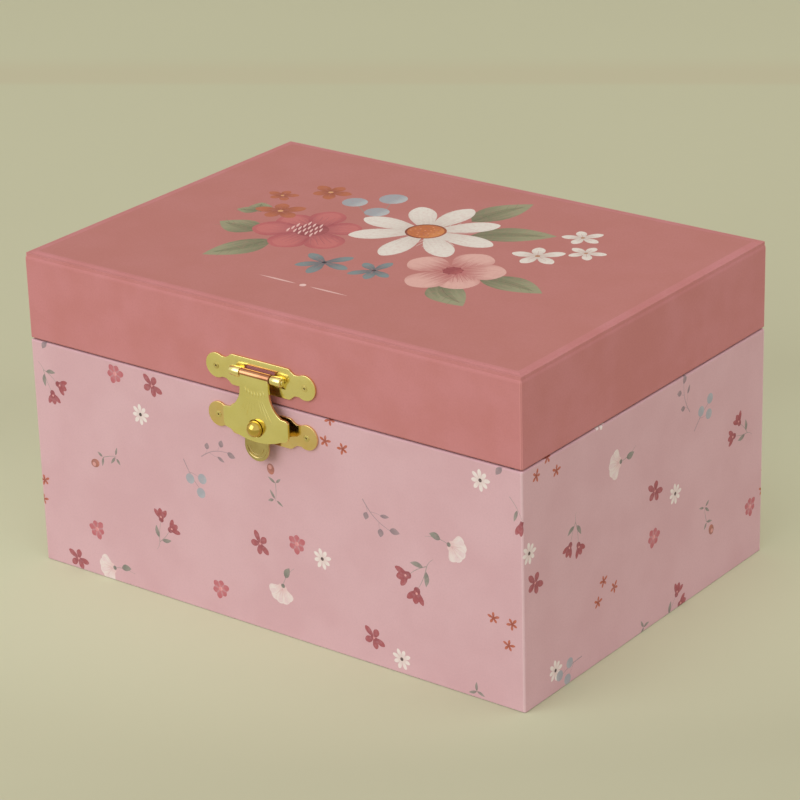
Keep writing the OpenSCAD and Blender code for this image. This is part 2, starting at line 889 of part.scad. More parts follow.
base_board();
case_front_board();
case_back_board();
case_side_boards();
case_wrap();
case_lining();
cross_divider();
side_divider();
front_divider();
tray_floor();
deck();
cleats();
tray_pads();
ring_cushion();
case_hinge_leaves();
hinge_pins();
case_nails();
catch_plate();
catch_knob();
bedplate();
movement_screws();
barrel_bridge();
spindle_bracket();
comb();
comb_weights();
comb_screws();
governor_frame();
bushes();
lid_top_board();
lid_front_board();
lid_back_board();
lid_side_boards();
lid_wrap();
lid_lining();
mirror();
mirror_surround();
lid_hinge_leaves();
lid_nails();
hasp_plate();
hasp_pin();
lid_striker();
hasp_flap();
winding_key();
winding_arbor();
spring_barrel();
barrel_cap();
mainspring();
pin_cylinder();
cylinder_pinion();
cylinder_wheel();
spindle();
turntable();
governor_wheel();
air_brake();
figure_ferrule();
figure_spring();
ballerina();
tutu();
stop_wire();
stop_spring();
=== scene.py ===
"""Looks of the ballerina jewellery box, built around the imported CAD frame.

Sizes are in millimetres until a mesh is made, and MM turns them into metres.
x runs to the right along the front, y to the back and z up, as in the frame.
"""

import json
import math

import bmesh
import bpy
import numpy as np
from mathutils import Matrix, Vector
from mathutils.geometry import delaunay_2d_cdt


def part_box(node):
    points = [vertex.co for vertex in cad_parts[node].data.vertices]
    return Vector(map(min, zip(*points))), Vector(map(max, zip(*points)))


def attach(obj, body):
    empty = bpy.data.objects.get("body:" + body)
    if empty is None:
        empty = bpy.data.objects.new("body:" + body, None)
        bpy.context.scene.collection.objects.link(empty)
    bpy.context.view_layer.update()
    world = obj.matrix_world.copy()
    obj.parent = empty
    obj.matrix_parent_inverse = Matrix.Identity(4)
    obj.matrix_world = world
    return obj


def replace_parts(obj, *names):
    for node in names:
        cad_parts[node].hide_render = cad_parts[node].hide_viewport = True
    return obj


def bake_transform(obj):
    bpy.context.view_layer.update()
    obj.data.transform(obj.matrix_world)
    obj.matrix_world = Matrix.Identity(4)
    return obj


MM = 0.001
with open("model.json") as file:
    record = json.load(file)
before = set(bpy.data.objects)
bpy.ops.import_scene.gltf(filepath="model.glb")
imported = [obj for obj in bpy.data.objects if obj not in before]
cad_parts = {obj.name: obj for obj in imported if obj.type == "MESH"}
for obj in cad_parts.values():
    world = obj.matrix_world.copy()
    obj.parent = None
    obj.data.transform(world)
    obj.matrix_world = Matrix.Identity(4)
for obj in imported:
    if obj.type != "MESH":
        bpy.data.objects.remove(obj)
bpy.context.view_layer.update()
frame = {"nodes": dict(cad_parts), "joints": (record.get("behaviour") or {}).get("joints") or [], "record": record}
NODES = frame["nodes"]


def box_mm(node):
    """The lowest and highest corner of a CAD node, in millimetres."""
    low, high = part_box(node)
    return low / MM, high / MM


def middle_of(node):
    low, high = box_mm(node)
    return (low + high) / 2


# ---- sizes: the outside comes from the frame, the rest is as in part.scad ----

CASE_LOW, CASE_HIGH = box_mm("case_wrap")
LID_LOW, LID_HIGH = box_mm("lid_wrap")
HALF_W, HALF_D = CASE_HIGH.x, CASE_HIGH.y
HALF_ROUND = 2 * (HALF_W + HALF_D)
CORNERS = ((-HALF_W, -HALF_D), (HALF_W, -HALF_D), (HALF_W, HALF_D), (-HALF_W, HALF_D))
PAPER = 0.25
FOLD = 2.75  # how far the paper turns in over the rim
CORNER = 0.6  # radius of the upright edges
LID_SHOULDER, LID_DROP = 2.4, 2.0  # width and height of the lid's soft top edge
RIM_EDGE = 0.45  # radius of the paper's edge at the rim
BESIDE = 0.15  # a flat strip beside a rounded edge, which keeps its shading in place
ALONG_X, TO_FRONT, TO_BACK = (1, 0, 0), (0, -1, 0), (0, 1, 0)
LYING = Matrix.Rotation(-math.pi / 2, 4, "X")  # lays an upright plate down

# ---- outlines, in a plane ----


def arc(centre, radius, start, end, steps=8):
    """Points on an arc, with angles in degrees."""
    turn = [math.radians(start + (end - start) * i / steps) for i in range(steps + 1)]
    return [(centre[0] + radius * math.cos(a), centre[1] + radius * math.sin(a)) for a in turn]


def circle(radius, centre=(0, 0), steps=16):
    return arc(centre, radius, 0, 360, steps)[:-1]


def mirrored(half):
    """A right half outline joined to its mirror image."""
    return half + [(-x, y) for x, y in reversed(half) if x > 1e-6]


def signed_area(outline):
    pairs = zip(outline, outline[1:] + outline[:1])
    return sum(a[0] * b[1] - b[0] * a[1] for a, b in pairs) / 2


def grown(outline, by):
    """An anticlockwise outline moved outwards, or inwards where by is negative."""
    moved = []
    for i, here in enumerate(outline):
        p, before, after = Vector(here), Vector(outline[i - 1]), Vector(outline[(i + 1) % len(outline)])
        a, b = (p - before).normalized(), (after - p).normalized()
        normal = Vector((a.y + b.y, -a.x - b.x))
        if normal.length < 1e-6:
            normal = Vector((a.y, -a.x)) * 2
        normal = normal.normalized() / max(0.4, normal.length / 2)
        moved.append(tuple(p + normal * by))
    return moved


def flat_faces(outline, holes=()):
    """Triangles that fill an outline, with indices into outline + holes."""
    points = list(outline)
    loops = [list(range(len(points)))]
    for hole in holes:
        loops.append(list(range(len(points), len(points) + len(hole))))
        points += hole
    flat = [Vector(p) for p in points]
    _, _, faces, kept, _, inside = delaunay_2d_cdt(flat, [], loops, 1, 1e-6, True)
    return [[kept[i][0] for i in face] for face, loop in zip(faces, inside) if loop == [0]]


# ---- meshes ----


class Solid:
    """Collects closed shapes in millimetres, and turns them into one piece."""

    def __init__(self, matrix=None):
        self.verts, self.faces, self.marks = [], [], []
        self.matrix = matrix or Matrix.Identity(4)

    def add(self, verts, faces, mark=0):
        first = len(self.verts)
        self.verts += [self.matrix @ Vector(v) for v in verts]
        self.faces += [[first + i for i in face] for face in faces]
        self.marks += [mark] * len(faces)
        return self

    def rings(self, rings, closed=False, mark=0):
        """Rings of points with equal counts, joined in order; open ends are capped."""
        n = len(rings[0])
        verts = [p for ring in rings for p in ring]
        faces = []
        for k in range(len(rings) if closed else len(rings) - 1):
            here, there = k * n, (k + 1) % len(rings) * n
            faces += [[here + i, here + (i + 1) % n, there + (i + 1) % n, there + i] for i in range(n)]
        if not closed:
            faces += [list(reversed(range(n))), [len(verts) - n + i for i in range(n)]]
        return self.add(verts, faces, mark)

    def revolve(self, profile, at=(0, 0, 0), along=(0, 0, 1), steps=32, closed=False, mark=0):
        """A profile of (radius, height) points turned about an axis through `at`."""
        turn = Vector((0, 0, 1)).rotation_difference(Vector(along)).to_matrix()
        rings = []
        for radius, height in profile:
            loop = circle(max(radius, 0.003), steps=steps)
            rings.append([Vector(at) + turn @ Vector((x, y, height)) for x, y in loop])
        return self.rings(rings, closed, mark)

    def tube(self, path, radius, sides=10, closed=False, mark=0):
        """A round bar along a path; radius is one number, or one for each point."""
        path = [Vector(p) for p in path]
        radii = radius if isinstance(radius, (list, tuple)) else [radius] * len(path)
        rings, side = [], None
        for i, p in enumerate(path):
            before = path[i - 1] if i or closed else p
            after = path[(i + 1) % len(path)] if i + 1 < len(path) or closed else p
            ahead = (after - before).normalized()
            if side is None:
                side = ahead.orthogonal().normalized()
            side = (side - ahead * side.dot(ahead)).normalized()
            other = ahead.cross(side)
            rings.append([p + (side * x + other * y) * radii[i] for x, y in circle(1, steps=sides)])
        return self.rings(rings, closed, mark)

    def ball(self, centre, radii, steps=16, mark=0):
        """An ellipsoid; radii is one number or (x, y, z)."""
        sizes = Vector(radii) if isinstance(radii, (list, tuple)) else Vector((radii,) * 3)
        rings = []
        for height in [math.radians(-88 + 176 * k / (steps // 2)) for k in range(steps // 2 + 1)]:
            loop = circle(math.cos(height), steps=steps)
            rings.append([Vector(centre) + sizes * Vector((x, y, math.sin(height))) for x, y in loop])
        return self.rings(rings, mark=mark)

    def plate(self, outline, back, thick, edge, holes=(), mark=0):
        """A stamped plate in x and z, its back at y = back and its softened front nearer to -y."""
        outline = outline if signed_area(outline) > 0 else outline[::-1]
        holes = [h if signed_area(h) > 0 else h[::-1] for h in holes]
        levels = [(0, 0), (0, thick - edge)]
        for a in (0.5, 1.05, math.pi / 2):
            levels.append((edge * (1 - math.cos(a)), thick - edge + edge * math.sin(a)))
        loops = [outline] + list(holes)
        counts = [len(loop) for loop in loops]
        verts, faces = [], []
        for inset, rise in levels:
            for k, loop in enumerate(loops):
                moved = grown(loop, inset if k else -inset)
                verts += [(x, back - rise, z) for x, z in moved]
        total = sum(counts)
        for level in range(len(levels) - 1):
            first = 0
            for k, n in enumerate(counts):
                for i in range(n):
                    a, b = level * total + first + i, level * total + first + (i + 1) % n
                    quad = [a, b, b + total, a + total]
                    faces.append(quad[::-1] if k else quad)
                first += n
        fill = flat_faces(outline, holes)
        top = (len(levels) - 1) * total
        faces += [face[::-1] for face in fill] + [[top + i for i in face] for face in fill]
        return self.add(verts, faces, mark)

    def piece(self, name, body, slot, looks, sharp=35):
        mesh = bpy.data.meshes.new(name)
        mesh.from_pydata([v * MM for v in self.verts], [], self.faces)
        bm = bmesh.new()
        bm.from_mesh(mesh)
        for face, mark in zip(bm.faces, self.marks):
            face.material_index = mark
        bmesh.ops.recalc_face_normals(bm, faces=bm.faces)
        bm.to_mesh(mesh)
        bm.free()
        return place(name, mesh, body, looks, sharp)


def place(name, mesh, body, looks, sharp=35):
    """Makes an object of a mesh, smooth but for edges sharper than `sharp` degrees.

    looks names its material, or one for each mark."""
    piece = bpy.data.objects.new(name, mesh)
    bpy.context.collection.objects.link(piece)
    for look in [looks] if isinstance(looks, str) else looks:
        mesh.materials.append(MATERIALS[look])
    mesh.polygons.foreach_set("use_smooth", [True] * len(mesh.polygons))
    mesh.set_sharp_from_angle(angle=math.radians(sharp))
    if body:
        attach(piece, body)
    return piece


def applied(piece):
    """Replaces a piece's mesh with what its modifiers make of it."""
    bpy.context.view_layer.update()
    shape = piece.evaluated_get(bpy.context.evaluated_depsgraph_get())
    mesh = bpy.data.meshes.new_from_object(shape)
    piece.modifiers.clear()
    piece.data = mesh
    return piece


# ---- materials ----


def tint(red, green, blue, alpha=1.0):
    """A colour as the eye names it, 0 to 255, in the linear values a shader takes."""
    lit = [c / 255 for c in (red, green, blue)]
    return tuple(c / 12.92 if c <= 0.04045 else ((c + 0.055) / 1.055) ** 2.4 for c in lit) + (alpha,)


class Recipe:
    """A node material: a Principled shader and the nodes that feed it."""

    def __init__(self, name, **sockets):
        self.material = bpy.data.materials.new(name)
        self.material.use_nodes = True
        self.tree = self.material.node_tree
        self.shader = self.tree.nodes["Principled BSDF"]
        for socket, value in sockets.items():
            self.shader.inputs[socket.replace("_", " ")].default_value = value

    def add(self, kind, inputs=(), **settings):
        """A node with some inputs set or linked, given as (socket, value or output)."""
        node = self.tree.nodes.new("ShaderNode" + kind)
        for key, value in settings.items():
            setattr(node, key, value)
        for socket, value in inputs:
            self.feed(node.inputs[socket], value)
        return node

    def feed(self, socket, value):
        if isinstance(value, bpy.types.NodeSocket):
            self.tree.links.new(value, socket)
        else:
            socket.default_value = value

    def place(self, stretch=(1, 1, 1)):
        """Object coordinates in millimetres, stretched."""
        coordinates = self.add("TexCoord").outputs["Object"]
        scale = tuple(s / MM for s in stretch)
        return self.add("Mapping", [("Vector", coordinates), ("Scale", scale)]).outputs[0]

    def noise(self, size, detail=2.0, stretch=(1, 1, 1), vector=None, rough=0.55):
        """Cloudy noise, about 0 to 1, with blotches of `size` millimetres."""
        inputs = [("Vector", vector or self.place(stretch)), ("Scale", 1 / size), ("Detail", detail)]
        return self.add("TexNoise", inputs + [("Roughness", rough)]).outputs["Fac"]

    def spread(self, value, low, high, to_low=0.0, to_high=1.0, kind="SMOOTHSTEP"):
        """Maps low..high to to_low..to_high."""
        inputs = [("Value", value), ("From Min", low), ("From Max", high)]
        inputs += [("To Min", to_low), ("To Max", to_high)]
        return self.add("MapRange", inputs, interpolation_type=kind).outputs[0]

    def sums(self, operation, a, b=0.0):
        return self.add("Math", [(0, a), (1, b)], operation=operation).outputs[0]

    def mix(self, factor, a, b, blend="MIX"):
        node = self.add("Mix", [("Factor", factor)], data_type="RGBA", blend_type=blend)
        self.feed(node.inputs[6], a)
        self.feed(node.inputs[7], b)
        return node.outputs[2]

    def bump(self, height, depth, strength=1.0):
        """Relief `depth` millimetres deep."""
        node = self.add("Bump", [("Height", height), ("Distance", depth * MM), ("Strength", strength)])
        self.tree.links.new(node.outputs[0], self.shader.inputs["Normal"])

    def colour(self, value):
        self.feed(self.shader.inputs["Base Color"], value)

    def roughness(self, value):
        self.feed(self.shader.inputs["Roughness"], value)


def printed_paper(name, ground, cloud, cloud_size, tooth):
    """Matt printed paper: a clouded ground, and inks laid over it by the mesh's attributes.

    ink holds a shape's colour and cover, deep its shaded colour, and stroke how far along and
    how far across the brush stroke a point is."""
    paper = Recipe(name, Roughness=0.72, Specular_IOR_Level=0.3)
    clouds = paper.noise(cloud_size, 3)
    grain = paper.noise(0.5, 3)
    base = paper.mix(paper.spread(clouds, 0.3, 0.7), ground, cloud)
    shade = tuple(c * 0.8 for c in ground[:3]) + (1.0,)
    base = paper.mix(paper.spread(grain, 0.35, 0.85, 0.0, 0.3), base, shade)
    ink = paper.add("Attribute", attribute_name="ink")
    deep = paper.add("Attribute", attribute_name="deep").outputs["Color"]
    stroke = paper.add("Attribute", attribute_name="stroke").outputs["Vector"]
    split = paper.add("SeparateXYZ", [(0, stroke)])
    hairs = paper.add("Mapping", [("Vector", stroke), ("Scale", (1.5, 5.0, 1.0))]).outputs[0]
    hairs = paper.noise(1.0, 3, vector=hairs)
    along = paper.sums("ADD", split.outputs[0], paper.spread(hairs, 0.2, 0.8, -0.28, 0.28, "LINEAR"))
    painted = paper.mix(paper.spread(along, 0.0, 0.75), deep, ink.outputs["Color"])
    rim = paper.spread(paper.sums("ABSOLUTE", split.outputs[1]), 0.55, 1.05, 0.0, 0.35)
    painted = paper.mix(rim, painted, deep)
    wear = paper.spread(paper.noise(0.8, 3), 0.25, 0.6, 0.8, 1.0)
    cover = paper.sums("MULTIPLY", ink.outputs["Alpha"], wear)
    paper.colour(paper.mix(cover, base, painted))
    paper.roughness(paper.spread(grain, 0.2, 0.8, 0.66, 0.8))
    paper.bump(paper.noise(0.35, 4, rough=0.65), tooth)
    return paper.material


def metal(name, colour, dark, roughness, grain=0.3, stretch=(1, 1, 1), relief=0.004):
    """Bare or plated metal: soft stains, a fine rolled grain and small scratches."""
    finish = Recipe(name, Metallic=1.0, Roughness=roughness)
    stains = finish.noise(6, 3)
    finish.colour(finish.mix(finish.spread(stains, 0.4, 0.75), colour, dark))
    fine = finish.noise(grain, 3, stretch)
    finish.roughness(finish.spread(fine, 0.25, 0.8, roughness * 0.8, roughness * 1.35))
    finish.bump(fine, relief)
    return finish.material


def moulded(name, colour, shade, roughness=0.38, size=1.5, coat=0.0):
    """Painted or moulded plastic with a faint unevenness."""
    finish = Recipe(name, Roughness=roughness, Coat_Weight=coat, Coat_Roughness=0.2)
    blotch = finish.noise(size, 2)
    finish.colour(finish.mix(finish.spread(blotch, 0.35, 0.75), colour, shade))
    finish.roughness(finish.spread(finish.noise(0.6, 2), 0.3, 0.7, roughness * 0.85, roughness * 1.15))
    finish.bump(blotch, 0.02)
    return finish.material


def velvet(name, colour, shade):
    """Short-pile velvet: brushed patches, a soft sheen and a fine nap."""
    sheen = {"Sheen_Weight": 0.55, "Sheen_Roughness": 0.35}
    cloth = Recipe(name, Roughness=0.9, Specular_IOR_Level=0.15, **sheen)
    cloth.shader.inputs["Sheen Tint"].default_value = tint(255, 214, 214)
    brushed = cloth.noise(7, 3, (1, 1.6, 1))
    nap = cloth.noise(0.35, 2)
    pile = cloth.mix(cloth.spread(brushed, 0.35, 0.65), colour, shade)
    cloth.colour(cloth.mix(cloth.spread(nap, 0.3, 0.75, 0.0, 0.5), pile, shade))
    cloth.bump(nap, 0.12, 0.8)
    return cloth.material


def lining_paper(name, colour, shade):
    """Pale lining paper with a fine linen emboss."""
    paper = Recipe(name, Roughness=0.62, Specular_IOR_Level=0.3)
    warp = paper.noise(0.45, 1, (0.16, 0.16, 1.0))
    weft = paper.noise(0.45, 1, (1.0, 1.0, 0.16))
    linen = paper.sums("MAXIMUM", warp, weft)
    fine = paper.noise(0.6, 3)
    base = paper.mix(paper.spread(paper.noise(14, 2), 0.35, 0.7, 0.0, 0.4), colour, shade)
    paper.colour(paper.mix(paper.spread(fine, 0.4, 0.8, 0.0, 0.25), base, shade))
    paper.roughness(paper.spread(linen, 0.4, 0.8, 0.55, 0.72))
    paper.bump(linen, 0.05, 0.6)
    return paper.material


def board(name, colour, fleck, stretch=(1, 1, 1), size=0.7):
    """Raw greyboard or wood: flecks or grain along one direction."""
    raw = Recipe(name, Roughness=0.85, Specular_IOR_Level=0.2)
    fibres = raw.noise(size, 4, stretch)
    raw.colour(raw.mix(raw.spread(fibres, 0.4, 0.7), colour, fleck))
    raw.bump(fibres, 0.05)
    return raw.material


def tulle(name, colour, shade):
    """Stiff net: a fine mesh with holes in it, and a soft sheen."""
    net = Recipe(name, Roughness=0.6, Sheen_Weight=0.4, Sheen_Roughness=0.4)
    place_of = net.place()
    threads = []
    for turn in (0.6, -0.6):
        inputs = [("Vector", place_of), ("Rotation", (0, 0, turn)), ("Scale", (3.2, 3.2, 3.2))]
        vector = net.add("Mapping", inputs).outputs[0]
        wave = net.add("TexWave", [("Vector", vector), ("Scale", 1.0)], bands_direction="X")
        threads.append(wave.outputs["Fac"])
    thread = net.spread(net.sums("MAXIMUM", *threads), 0.45, 0.75)
    net.colour(net.mix(net.spread(net.noise(3, 2), 0.35, 0.7), colour, shade))
    net.feed(net.shader.inputs["Alpha"], net.spread(thread, 0, 1, 0.62, 1.0, "LINEAR"))
    net.bump(thread, 0.04)
    return net.material


# The recipe, the name, the two colours that it runs between, and the recipe's other values.
FINISHES = (
    (printed_paper, "case_paper", (213, 172, 176), (208, 165, 169), 16, 0.012),
    (printed_paper, "lid_paper", (197, 128, 127), (191, 121, 117), 14, 0.02),
    (lining_paper, "lining_paper", (236, 208, 204), (222, 188, 184)),
    (board, "greyboard", (170, 160, 148), (146, 136, 124)),
    (board, "softwood", (208, 178, 134), (180, 144, 98), (0.12, 1, 1), 0.9),
    (velvet, "velvet", (190, 112, 118), (168, 92, 100)),
    (metal, "latch_brass", (245, 230, 156), (240, 222, 142), 0.18, 0.5, (1, 1, 0.3), 0.0006),
    # a dark metal for the nails' dimples: painted shade in the hollow
    (metal, "punch_mark", (112, 90, 58), (88, 70, 44), 0.5),
    (metal, "nail_brass", (232, 214, 140), (196, 172, 104), 0.2, 0.4, (1, 1, 1), 0.001),
    (metal, "movement_brass", (214, 184, 108), (188, 152, 78), 0.32, 0.25, (1, 0.2, 1)),
    (metal, "cast_zinc", (170, 164, 140), (148, 140, 116), 0.48, 0.9, (1, 1, 1), 0.03),
    (metal, "screw_steel", (196, 196, 198), (168, 168, 172), 0.26),
    (metal, "comb_steel", (160, 168, 178), (132, 140, 152), 0.3, 0.2, (0.15, 1, 1)),
    (metal, "spring_steel", (206, 208, 212), (176, 178, 184), 0.2),
    (metal, "lead", (104, 104, 110), (84, 84, 90), 0.55, 0.6),
    (metal, "mirror_glass", (232, 238, 240), (228, 236, 238), 0.015, 3.0, (1, 1, 1), 0.0),
    (moulded, "figure_plastic", (243, 205, 184), (236, 190, 168)),
    (metal, "flap_brass", (244, 231, 154), (240, 226, 144), 0.14, 0.5, (0.3, 1, 1), 0.0006),
    # the rolled top's reddish brown is a painted reflection of the pink lid
    (metal, "roll_brass", (194, 140, 100), (160, 106, 76), 0.12, 0.4, (0.3, 1, 1), 0.0006),
    (metal, "catch_brass", (240, 210, 146), (236, 202, 128), 0.13, 0.5, (1, 1, 0.3), 0.0006),
    # the thumb tab's darker brass is painted shade under the flap
    (metal, "tab_brass", (208, 188, 130), (188, 166, 108), 0.2, 0.5, (1, 1, 1), 0.0008),
    (metal, "knob_brass", (212, 182, 92), (200, 164, 72), 0.08, 0.5, (1, 1, 1), 0.0004),
    (moulded, "bodice", (214, 140, 148), (202, 122, 132), 0.42, 0.8),
    (moulded, "shoe_satin", (228, 160, 166), (214, 142, 150), 0.3, 0.5, 0.3),
    (moulded, "hair", (112, 74, 52), (84, 54, 38), 0.45, 0.5),
    (moulded, "lips", (196, 92, 96), (180, 80, 86), 0.4, 0.5),
    (tulle, "tulle", (246, 214, 218), (234, 190, 198)),
)
MATERIALS = {}
for recipe, finish_name, colour_a, colour_b, *values in FINISHES:
    MATERIALS[finish_name] = recipe(finish_name, tint(*colour_a), tint(*colour_b), *values)
SLOTS = {part["node"]: part["material_slot"] for part in frame["record"]["subparts"]}


# ---- printing on paper ----


class Sheet:
    """A sheet of paper lying flat, with painted outlines cut into one mesh without overlaps."""

    def __init__(self, outline):
        self.points, self.cuts, self.loops, self.paints = [], [], [], []
        self.outline(outline, None)

    def outline(self, points, paint):
        points = points if signed_area(points) > 0 else points[::-1]
        self.loops.append([len(self.points) + i for i in range(len(points))])
        self.points += [Vector(p[:2]) for p in points]
        self.paints.append(paint)

    def line(self, a, b):
        """A fold, which the mesh keeps an edge along."""
        self.cuts.append((len(self.points), len(self.points) + 1))
        self.points += [Vector(a), Vector(b)]

    def painted(self, middles):
        """For each point, the last outline that it is in, or -1 where it is off the sheet."""
        found = np.full(len(middles), -1)
        for k, loop in enumerate(self.loops):
            ring = np.array([self.points[i] for i in loop])
            low, high = ring.min(0), ring.max(0)
            near = np.nonzero(((middles >= low) & (middles <= high)).all(1))[0]
            x, y = middles[near, 0, None], middles[near, 1, None]
            (x0, y0), (x1, y1) = ring.T, np.roll(ring, -1, 0).T
            rise = np.where(y1 == y0, 1e-12, y1 - y0)
            crossed = ((y0 > y) != (y1 > y)) & (x < x0 + (y - y0) * (x1 - x0) / rise)
            inside = near[crossed.sum(1) % 2 == 1]
            found[inside if k == 0 else inside[found[inside] >= 0]] = k
        return found

    def fill(self, bm, lift):
        """Adds the sheet to a bmesh; lift takes a flat point to its place in millimetres."""
        edges = [(a, b) for loop in self.loops for a, b in zip(loop, loop[1:] + loop[:1])]
        points, _, faces, *_ = delaunay_2d_cdt(self.points, self.cuts + edges, [], 0, 1e-5, True)
        colours, vectors = bm.loops.layers.float_color, bm.loops.layers.float_vector
        layers = [colours.get(name) or colours.new(name) for name in ("ink", "deep")]
        strokes = vectors.get("stroke") or vectors.new("stroke")
        verts = [bm.verts.new(lift(p.x, p.y) * MM) for p in points]
        flat = np.array(points)
        for corners, source in zip(faces, self.painted(flat[np.array(faces)].mean(1))):
            if source < 0:
                continue
            face = bm.faces.new([verts[i] for i in corners])
            paint = self.paints[source]
            for loop, i in zip(face.loops, corners):
                if paint is None:
                    loop[layers[0]] = loop[layers[1]] = (1, 1, 1, 0)
                    continue
                (ink, deep), cover, frame_of_stroke, reach = paint
                local = frame_of_stroke @ Vector((points[i].x, points[i].y, 0))
                loop[layers[0]] = ink[:3] + (cover,)
                loop[layers[1]] = deep[:3] + (1,)
                loop[strokes] = (local.x / reach[0], local.y / reach[1], 0)
        for vert in [v for v in verts if not v.link_faces]:
            bm.verts.remove(vert)


def shifted(at, turn):
    """A move to `at` in the plane, and a turn there in degrees."""
    return Matrix.Translation((at[0], at[1], 0)) @ Matrix.Rotation(math.radians(turn), 4, "Z")


class Brush:
    """Lays painted shapes on a sheet, at one place, turn and size."""

    def __init__(self, sheet, at, turn=0.0, size=1.0, flip=False):
        self.sheet = sheet
        self.frame = shifted(at, turn) @ Matrix.Diagonal((size, -size if flip else size, size, 1))

    def put(self, outline, paint, cover=1.0, turn=0.0, at=(0, 0)):
        """A shape drawn along +x from its own origin; paint is what inks() makes."""
        place_of = self.frame @ shifted(at, turn)
        reach = (max(p[0] for p in outline), max(abs(p[1]) for p in outline))
        points = [(place_of @ Vector((x, y, 0)))[:2] for x, y in outline]
        self.sheet.outline(points, (paint, cover, place_of.inverted(), reach))


def inks(ink, deep=None):
    """A colour, and the one that it takes at the heel and rim of a shape, or itself."""
    return tint(*ink), tint(*(deep or ink))


def petal(length, width, heel=0.2, full=0.6, start=0.0, steps=7):
    """A petal from x = start: narrow at the heel, and widest `full` of the way along."""
    bend = math.log(0.5) / math.log(full)
    side = []
    for i in range(steps + 1):
        t = math.sin(math.pi / 2 * i / steps) if i < steps else 1.0
        half = max(max(math.sin(math.pi * t**bend), 0) ** 0.58, heel * (1 - t)) * width / 2
        side.append((start + t * (length - start), half))
    side[-1] = (length, 0)
    return side + [(x, -y) for x, y in reversed(side[:-1])]


def bowed(length, bow, steps, half_at):
    """The two sides of a shape whose middle line bows, half_at(0..1) from that line."""
    left, right = [], []
    for t in [i / steps for i in range(steps + 1)]:
        middle = bow * math.sin(math.pi * t)
        left.append((t * length, middle + half_at(t)))
        right.append((t * length, middle - half_at(t)))
    return left, right


def leaf(length, width, bow=0.0, steps=7):
    """A pointed leaf."""
    half_at = lambda t: math.sin(math.pi * t**0.85) ** 0.9 * width / 2
    left, right = bowed(length, bow, steps, half_at)
    return left + right[-2:0:-1]


def stem(length, width, bow=0.0, steps=6):
    """A thin line that tapers."""
    left, right = bowed(length, bow, steps, lambda t: width / 2 * (1 - 0.6 * t))
    return left + right[::-1]


RUST = inks((186, 96, 66), (150, 70, 50))
ROSE = inks((184, 94, 100), (196, 114, 116))
WINE = inks((162, 76, 80), (144, 66, 72))
SAGE, STALK = inks((138, 138, 126), (116, 118, 108)), inks((138, 138, 126))
MAUVE, TWIG = inks((150, 132, 134), (134, 118, 122)), inks((150, 132, 134))


def bloom(brush):
    """Six uneven round petals with dark wedges, and a pale ring in the middle."""
    for k, length in enumerate((3.0, 2.5, 2.8, 2.6, 2.95, 2.45)):
        brush.put(petal(length, 1.85, 0.5, 0.62), ROSE, 0.9, 60 * k + 8)
    for k in range(6):
        brush.put(petal(2.1, 0.5, 0.4, 0.6, steps=5), inks((168, 78, 86)), 0.5, 60 * k + 38)
    brush.put(circle(0.62, steps=10), inks((226, 164, 158), (214, 138, 138)), 0.9)


def pinwheel(brush):
    """Five uneven blunt petals."""
    turns, lengths = (134, 64, 205, 284, 336), (3.8, 2.8, 3.0, 3.1, 3.7)
    for turn, length, width in zip(turns, lengths, (1.65, 1.9, 1.9, 1.75, 1.7)):
        brush.put(petal(length, width, 0.75, 0.62), WINE, 0.9, turn)
    brush.put(circle(0.34, steps=8), inks((214, 140, 138)), 0.85)
    for turn in (100, 20, 240):
        brush.put(stem(1.1, 0.16), inks((206, 130, 130)), 0.6, turn)


def daisy(brush):
    """Eight white petals round a dark eye."""
    for k in range(8):
        outline = petal(2.9 - 0.3 * (k % 3 == 1), 1.15, 0.4, 0.66)
        brush.put(outline, inks((232, 220, 213), (220, 198, 192)), 0.97, 45 * k + 6)
    brush.put(circle(0.5, steps=9), inks((92, 78, 74), (70, 58, 56)))


def star(brush):
    """A tiny rust flower."""
    for k, length in enumerate((1.9, 1.6, 1.8, 1.7, 1.5)):
        brush.put(petal(length, 0.75, 0.4, 0.6, steps=5), RUST, 0.95, 72 * k + 10)


def bell_head(brush, at, turn):
    """An open flower of three petals, seen from the side."""
    for spread, length, width in ((36, 3.4, 1.4), (-38, 3.5, 1.4), (0, 3.2, 1.75)):
        brush.put(petal(length, width, 0.85, 0.6, steps=6), WINE, 0.92, turn + spread, at)
    brush.put(circle(0.85, steps=9), WINE, 0.92, 0, at)
    way = math.radians(turn)
    ahead = (at[0] + 0.7 * math.cos(way), at[1] + 0.7 * math.sin(way))
    brush.put(circle(0.3, steps=7), inks((220, 156, 150)), 0.85, 0, ahead)


def bells(brush):
    """Two wine-red flowers and two leaves on one stem."""
    brush.put(stem(2.6, 0.2, 0.2), STALK, 0.6, 176)
    brush.put(stem(6.6, 0.22, 0.3), STALK, 0.75, 13)
    brush.put(stem(5.7, 0.22, -0.3), STALK, 0.75, -20)
    brush.put(leaf(3.5, 1.25, 0.15), SAGE, 0.9, 34, (1.1, 0.6))
    brush.put(leaf(3.3, 1.2, -0.15), SAGE, 0.9, -58, (0.9, -0.5))
    bell_head(brush, (6.5, 1.5), 26)
    bell_head(brush, (5.4, -2.0), -34)


def nodding_bell(brush):
    """One hanging flower of two petals, and a leaf."""
    brush.put(stem(6.8, 0.22, 0.4), STALK, 0.6, -57)
    brush.put(leaf(3.3, 0.95), SAGE, 0.9, -108, (2.2, -3.0))
    for turn, length in ((-118, 4.2), (-97, 3.9)):
        brush.put(petal(length, 1.4, 0.7, 0.62, steps=6), WINE, 0.92, turn, (3.6, -5.7))


